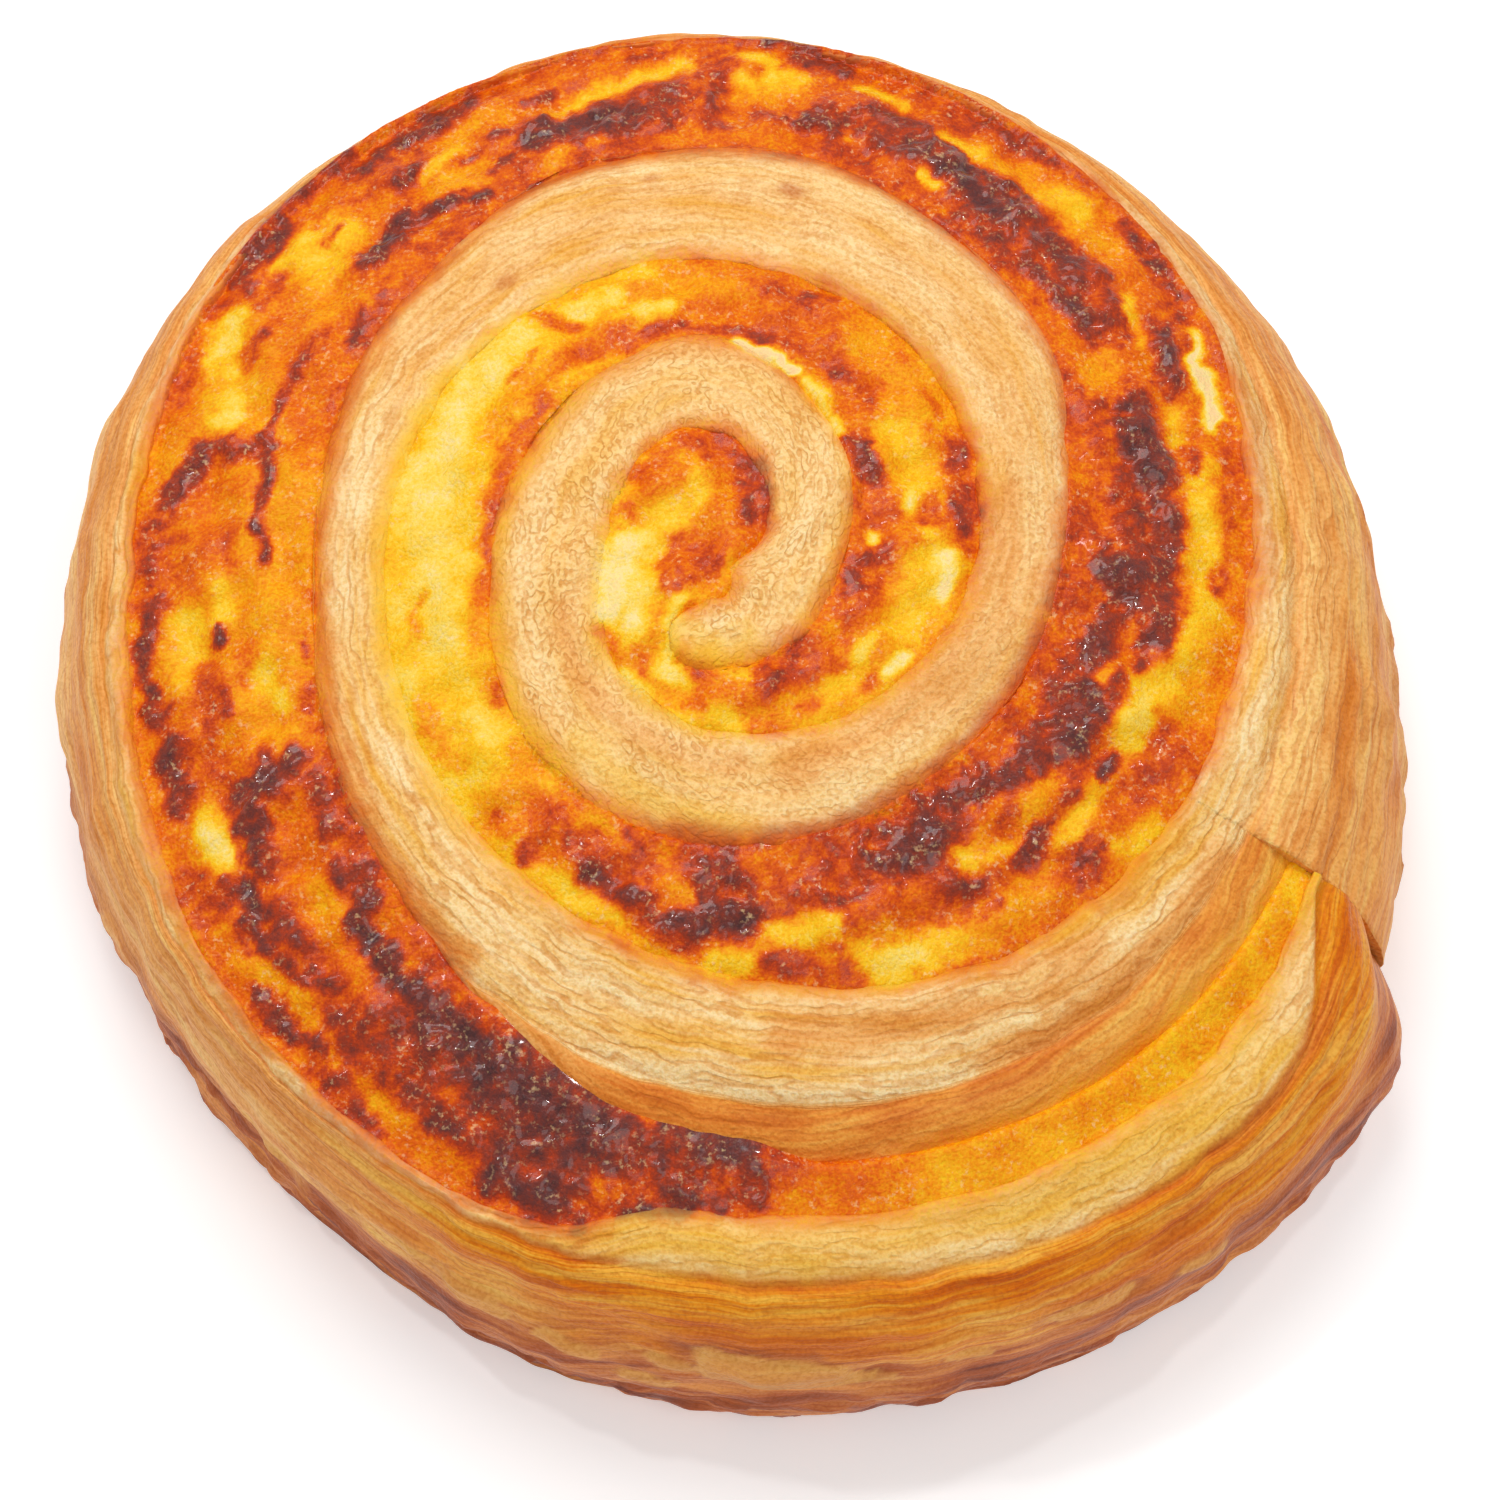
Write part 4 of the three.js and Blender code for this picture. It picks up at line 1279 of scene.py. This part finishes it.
def cheese_material(grain_nodes, shades):
    material, tree, surface, place = new_material("browned cheese")
    bake = attribute(tree, "bake")
    fine = use_group(tree, grain_nodes, Vector=place, Size=CHEESE_GRAIN)
    specks = about_middle(tree, fine, ramp(tree, bake, ((0.2, 0.16), (0.6, 0.3))))
    level = plus(tree, bake, specks, clip=True)
    crust = ramp(tree, bake, ((0.4, 0.0), (0.75, 1.0)))
    # Pale flecks in clusters mixed into the colour: painted glints of light on the glossy cheese
    painted_glints = ramp(tree, noise(tree, place, PAINTED_GLINT_SIZE, 2.0, 0.6), ((0.56, 0.0), (0.72, 0.5)))
    glint_clusters = ramp(tree, noise(tree, place, PAINTED_GLINT_CLUSTERS), ((0.42, 0.0), (0.6, 1.0)))
    painted_glints = times(tree, painted_glints, glint_clusters)
    colour = mixed(tree, painted_glints, use_group(tree, shades, Bake=level), PAINTED_GLINT_SHADE)
    bump = add(tree, "ShaderNodeBump", Strength=0.7, Distance=0.22 * MM, Height=fine)
    set_surface(tree, surface, {
        "Base Color": colour,
        "Roughness": ramp(tree, crust, ((0.0, 0.45), (1.0, 0.33))),
        "Normal": bump.outputs[0],
        "Coat Weight": ramp(tree, crust, ((0.0, 0.0), (1.0, 0.5))),
        "Coat Roughness": 0.09,
        "Specular IOR Level": 0.12,
        "Subsurface Weight": 0.1,
        "Subsurface Radius": (1.0, 0.45, 0.15),
        "Subsurface Scale": 0.8 * MM,
    })
    return material


# Squiggling lines of the cut layers: lines a millimetre across the strip, and the length, width
# and strength of the sway that bends them, for the short lines of the middle and the long ones.
SHORT_LINES = (0.0, 2.2, 1.7, 6.0)
LONG_LINES = (0.8, 4.5, 1.6, 3.6)


def layer_lines(tree, strip, density, length, width, sway):
    """Thin lines as 0 to 1: contours of a noise drawn out along the strip."""
    across = add(tree, "ShaderNodeSeparateXYZ", Vector=strip).outputs[1]
    warp = noise(tree, stretched(tree, strip, length, width), 1.0, 2.0, 0.6)
    phase = plus(tree, times(tree, across, density), times(tree, warp, sway))
    wave = sums(tree, "SINE", times(tree, phase, 2 * math.pi))
    return ramp(tree, times(tree, plus(tree, wave, 1.0), 0.5), ((0.5, 0.0), (1.0, 1.0)))


DOUGH_GRAIN = 0.38 * MM
STREAK_LENGTH = 11
STREAK_WIDTH = 0.6
PALE_DOUGH = (
    (0.15, shade(254, 225, 170)), (0.45, shade(250, 208, 140)),
    (0.7, shade(246, 190, 92)), (0.95, shade(238, 166, 50)),
)
GOLDEN_DOUGH = (
    (0.1, shade(244, 182, 66)), (0.38, shade(236, 144, 18)),
    (0.62, shade(220, 110, 4)), (0.9, shade(178, 68, 4)),
)
CRUSTY_DOUGH = (
    (0.1, shade(230, 150, 76)), (0.45, shade(188, 98, 50)), (0.8, shade(124, 60, 46)),
)
LINE_INK = ((0.0, shade(222, 148, 62)), (1.0, shade(196, 92, 18)))
SPECKLES = ((0.34, (0.86, 0.72, 0.5, 1)), (0.58, 1.0))
YELLOW_TINT = shade(247, 194, 56)
RUST_TINT = shade(190, 78, 22)
BLISTER_SHADE = shade(230, 166, 84)
SPECKLE_STRENGTH = 0.8
LINE_DEPTH = 0.7


def dough_material(grain_nodes, shades):
    material, tree, surface, place = new_material("laminated dough")
    strip = attribute(tree, "strip", "Vector")
    gold, bands, drawn_out = (attribute(tree, name) for name in ("gold", "bands", "drawn_out"))
    fine = use_group(tree, grain_nodes, Vector=place, Size=DOUGH_GRAIN)
    streaks = noise(tree, stretched(tree, strip, STREAK_LENGTH, STREAK_WIDTH), 1.0, 2.0, 0.6)
    streaking = ramp(tree, drawn_out, ((0.0, 0.25), (1.0, 0.9)))
    tone = plus(tree, bands, about_middle(tree, streaks, streaking), clip=True)
    colour = mixed(tree, gold, ramp(tree, tone, PALE_DOUGH), ramp(tree, tone, GOLDEN_DOUGH))

    lines = mixed(tree, drawn_out, layer_lines(tree, strip, *SHORT_LINES),
                  layer_lines(tree, strip, *LONG_LINES))
    drawn = times(tree, lines, attribute(tree, "lines"))
    relief = sums(tree, "SUBTRACT", fine, times(tree, drawn, LINE_DEPTH))
    colour = mixed(tree, drawn, colour, ramp(tree, gold, LINE_INK))
    colour = mixed(tree, attribute(tree, "yellow"), colour, YELLOW_TINT)
    colour = mixed(tree, attribute(tree, "rust"), colour, RUST_TINT)
    colour = mixed(tree, attribute(tree, "crust"), colour, ramp(tree, tone, CRUSTY_DOUGH))
    colour = mixed(tree, attribute(tree, "blister"), colour, BLISTER_SHADE)
    speckled = ramp(tree, fine, SPECKLES)
    colour = mixed(tree, SPECKLE_STRENGTH, colour, speckled, "MULTIPLY")
    bake = plus(tree, attribute(tree, "bake"), about_middle(tree, fine, 0.25), clip=True)
    colour = mixed(tree, attribute(tree, "stain"), colour, use_group(tree, shades, Bake=bake))

    bump = add(tree, "ShaderNodeBump", Strength=0.6, Distance=0.25 * MM, Height=relief)
    set_surface(tree, surface, {
        "Base Color": colour,
        "Roughness": ramp(tree, gold, ((0.0, 0.65), (1.0, 0.4))),
        "Normal": bump.outputs[0],
        "Coat Weight": ramp(tree, gold, ((0.0, 0.0), (1.0, 0.1))),
        "Coat Roughness": 0.2,
        "Specular IOR Level": 0.1,
        "Subsurface Weight": 0.12,
        "Subsurface Radius": (1.0, 0.5, 0.2),
        "Subsurface Scale": 1.0 * MM,
    })
    return material


def floor_material():
    material, tree, surface, place = new_material("white table")
    set_surface(tree, surface, {
        "Base Color": ramp(tree, noise(tree, place, 0.3), ((0.0, 0.93), (1.0, 0.95))),
        "Roughness": 0.9,
        "Emission Color": (1, 1, 1, 1),
        "Emission Strength": TABLE_GLOW,
    })
    return material


# ---- The studio -------------------------------------------------------------------------------

CAMERA_ELEVATION = 67
CAMERA_DISTANCE = 0.430
CAMERA_LENS = 119.7
CAMERA_SENSOR = 36
CAMERA_TARGET = (0.00165, -0.00616, 0.015)
TABLE_HALF = 3
TABLE_GLOW = 0.26
DAYLIGHT = 0.46

# Round lights that face the origin: name, place, diameter in metres and power in watts
LIGHTS = (
    ("key", (-0.10, 0.30, 0.60), 0.36, 1.7),
    ("fill", (0.22, -0.30, 0.60), 0.36, 0.75),
    ("glint left", (-0.24, 0.12, 0.5), 0.035, 0.32),
    ("glint right", (0.20, 0.20, 0.5), 0.035, 0.32),
)


def make_camera():
    data = bpy.data.cameras.new("camera")
    data.lens = CAMERA_LENS
    data.sensor_width = CAMERA_SENSOR
    camera = new_object("camera", data)
    tilt = math.radians(CAMERA_ELEVATION)
    x, y, z = CAMERA_TARGET
    y -= CAMERA_DISTANCE * math.cos(tilt)
    z += CAMERA_DISTANCE * math.sin(tilt)
    camera.location = (x, y, z)
    camera.rotation_euler = (math.pi / 2 - tilt, 0, 0)
    bpy.context.scene.camera = camera


def make_floor():
    bm = bmesh.new()
    bmesh.ops.create_grid(bm, x_segments=1, y_segments=1, size=TABLE_HALF)
    table = mesh_object("table", bm)
    table.data.materials.append(floor_material())


def make_lights():
    world = bpy.data.worlds.new("soft daylight")
    world.use_nodes = True
    background = world.node_tree.nodes["Background"]
    background.inputs["Color"].default_value = (1, 1, 1, 1)
    background.inputs["Strength"].default_value = DAYLIGHT
    bpy.context.scene.world = world
    for name, (x, y, z), diameter, power in LIGHTS:
        data = bpy.data.lights.new(name, "AREA")
        data.shape = "DISK"
        data.size = diameter
        data.energy = power
        light = new_object(name, data)
        light.location = (x, y, z)
        light.rotation_euler = (math.atan2(math.hypot(x, y), z), 0, math.atan2(x, -y))
    bpy.context.scene.view_settings.view_transform = "Standard"


make_camera()
make_lights()
make_floor()
baked_grain = grain_group()
cheese_shades = cheese_shades_group()
dough_finish = dough_material(baked_grain, cheese_shades)
cheese = make_cheese()
cheese.data.materials.append(cheese_material(baked_grain, cheese_shades))
for strip_piece in (make_turns(), make_outer_turn()):
    strip_piece.data.materials.append(dough_finish)
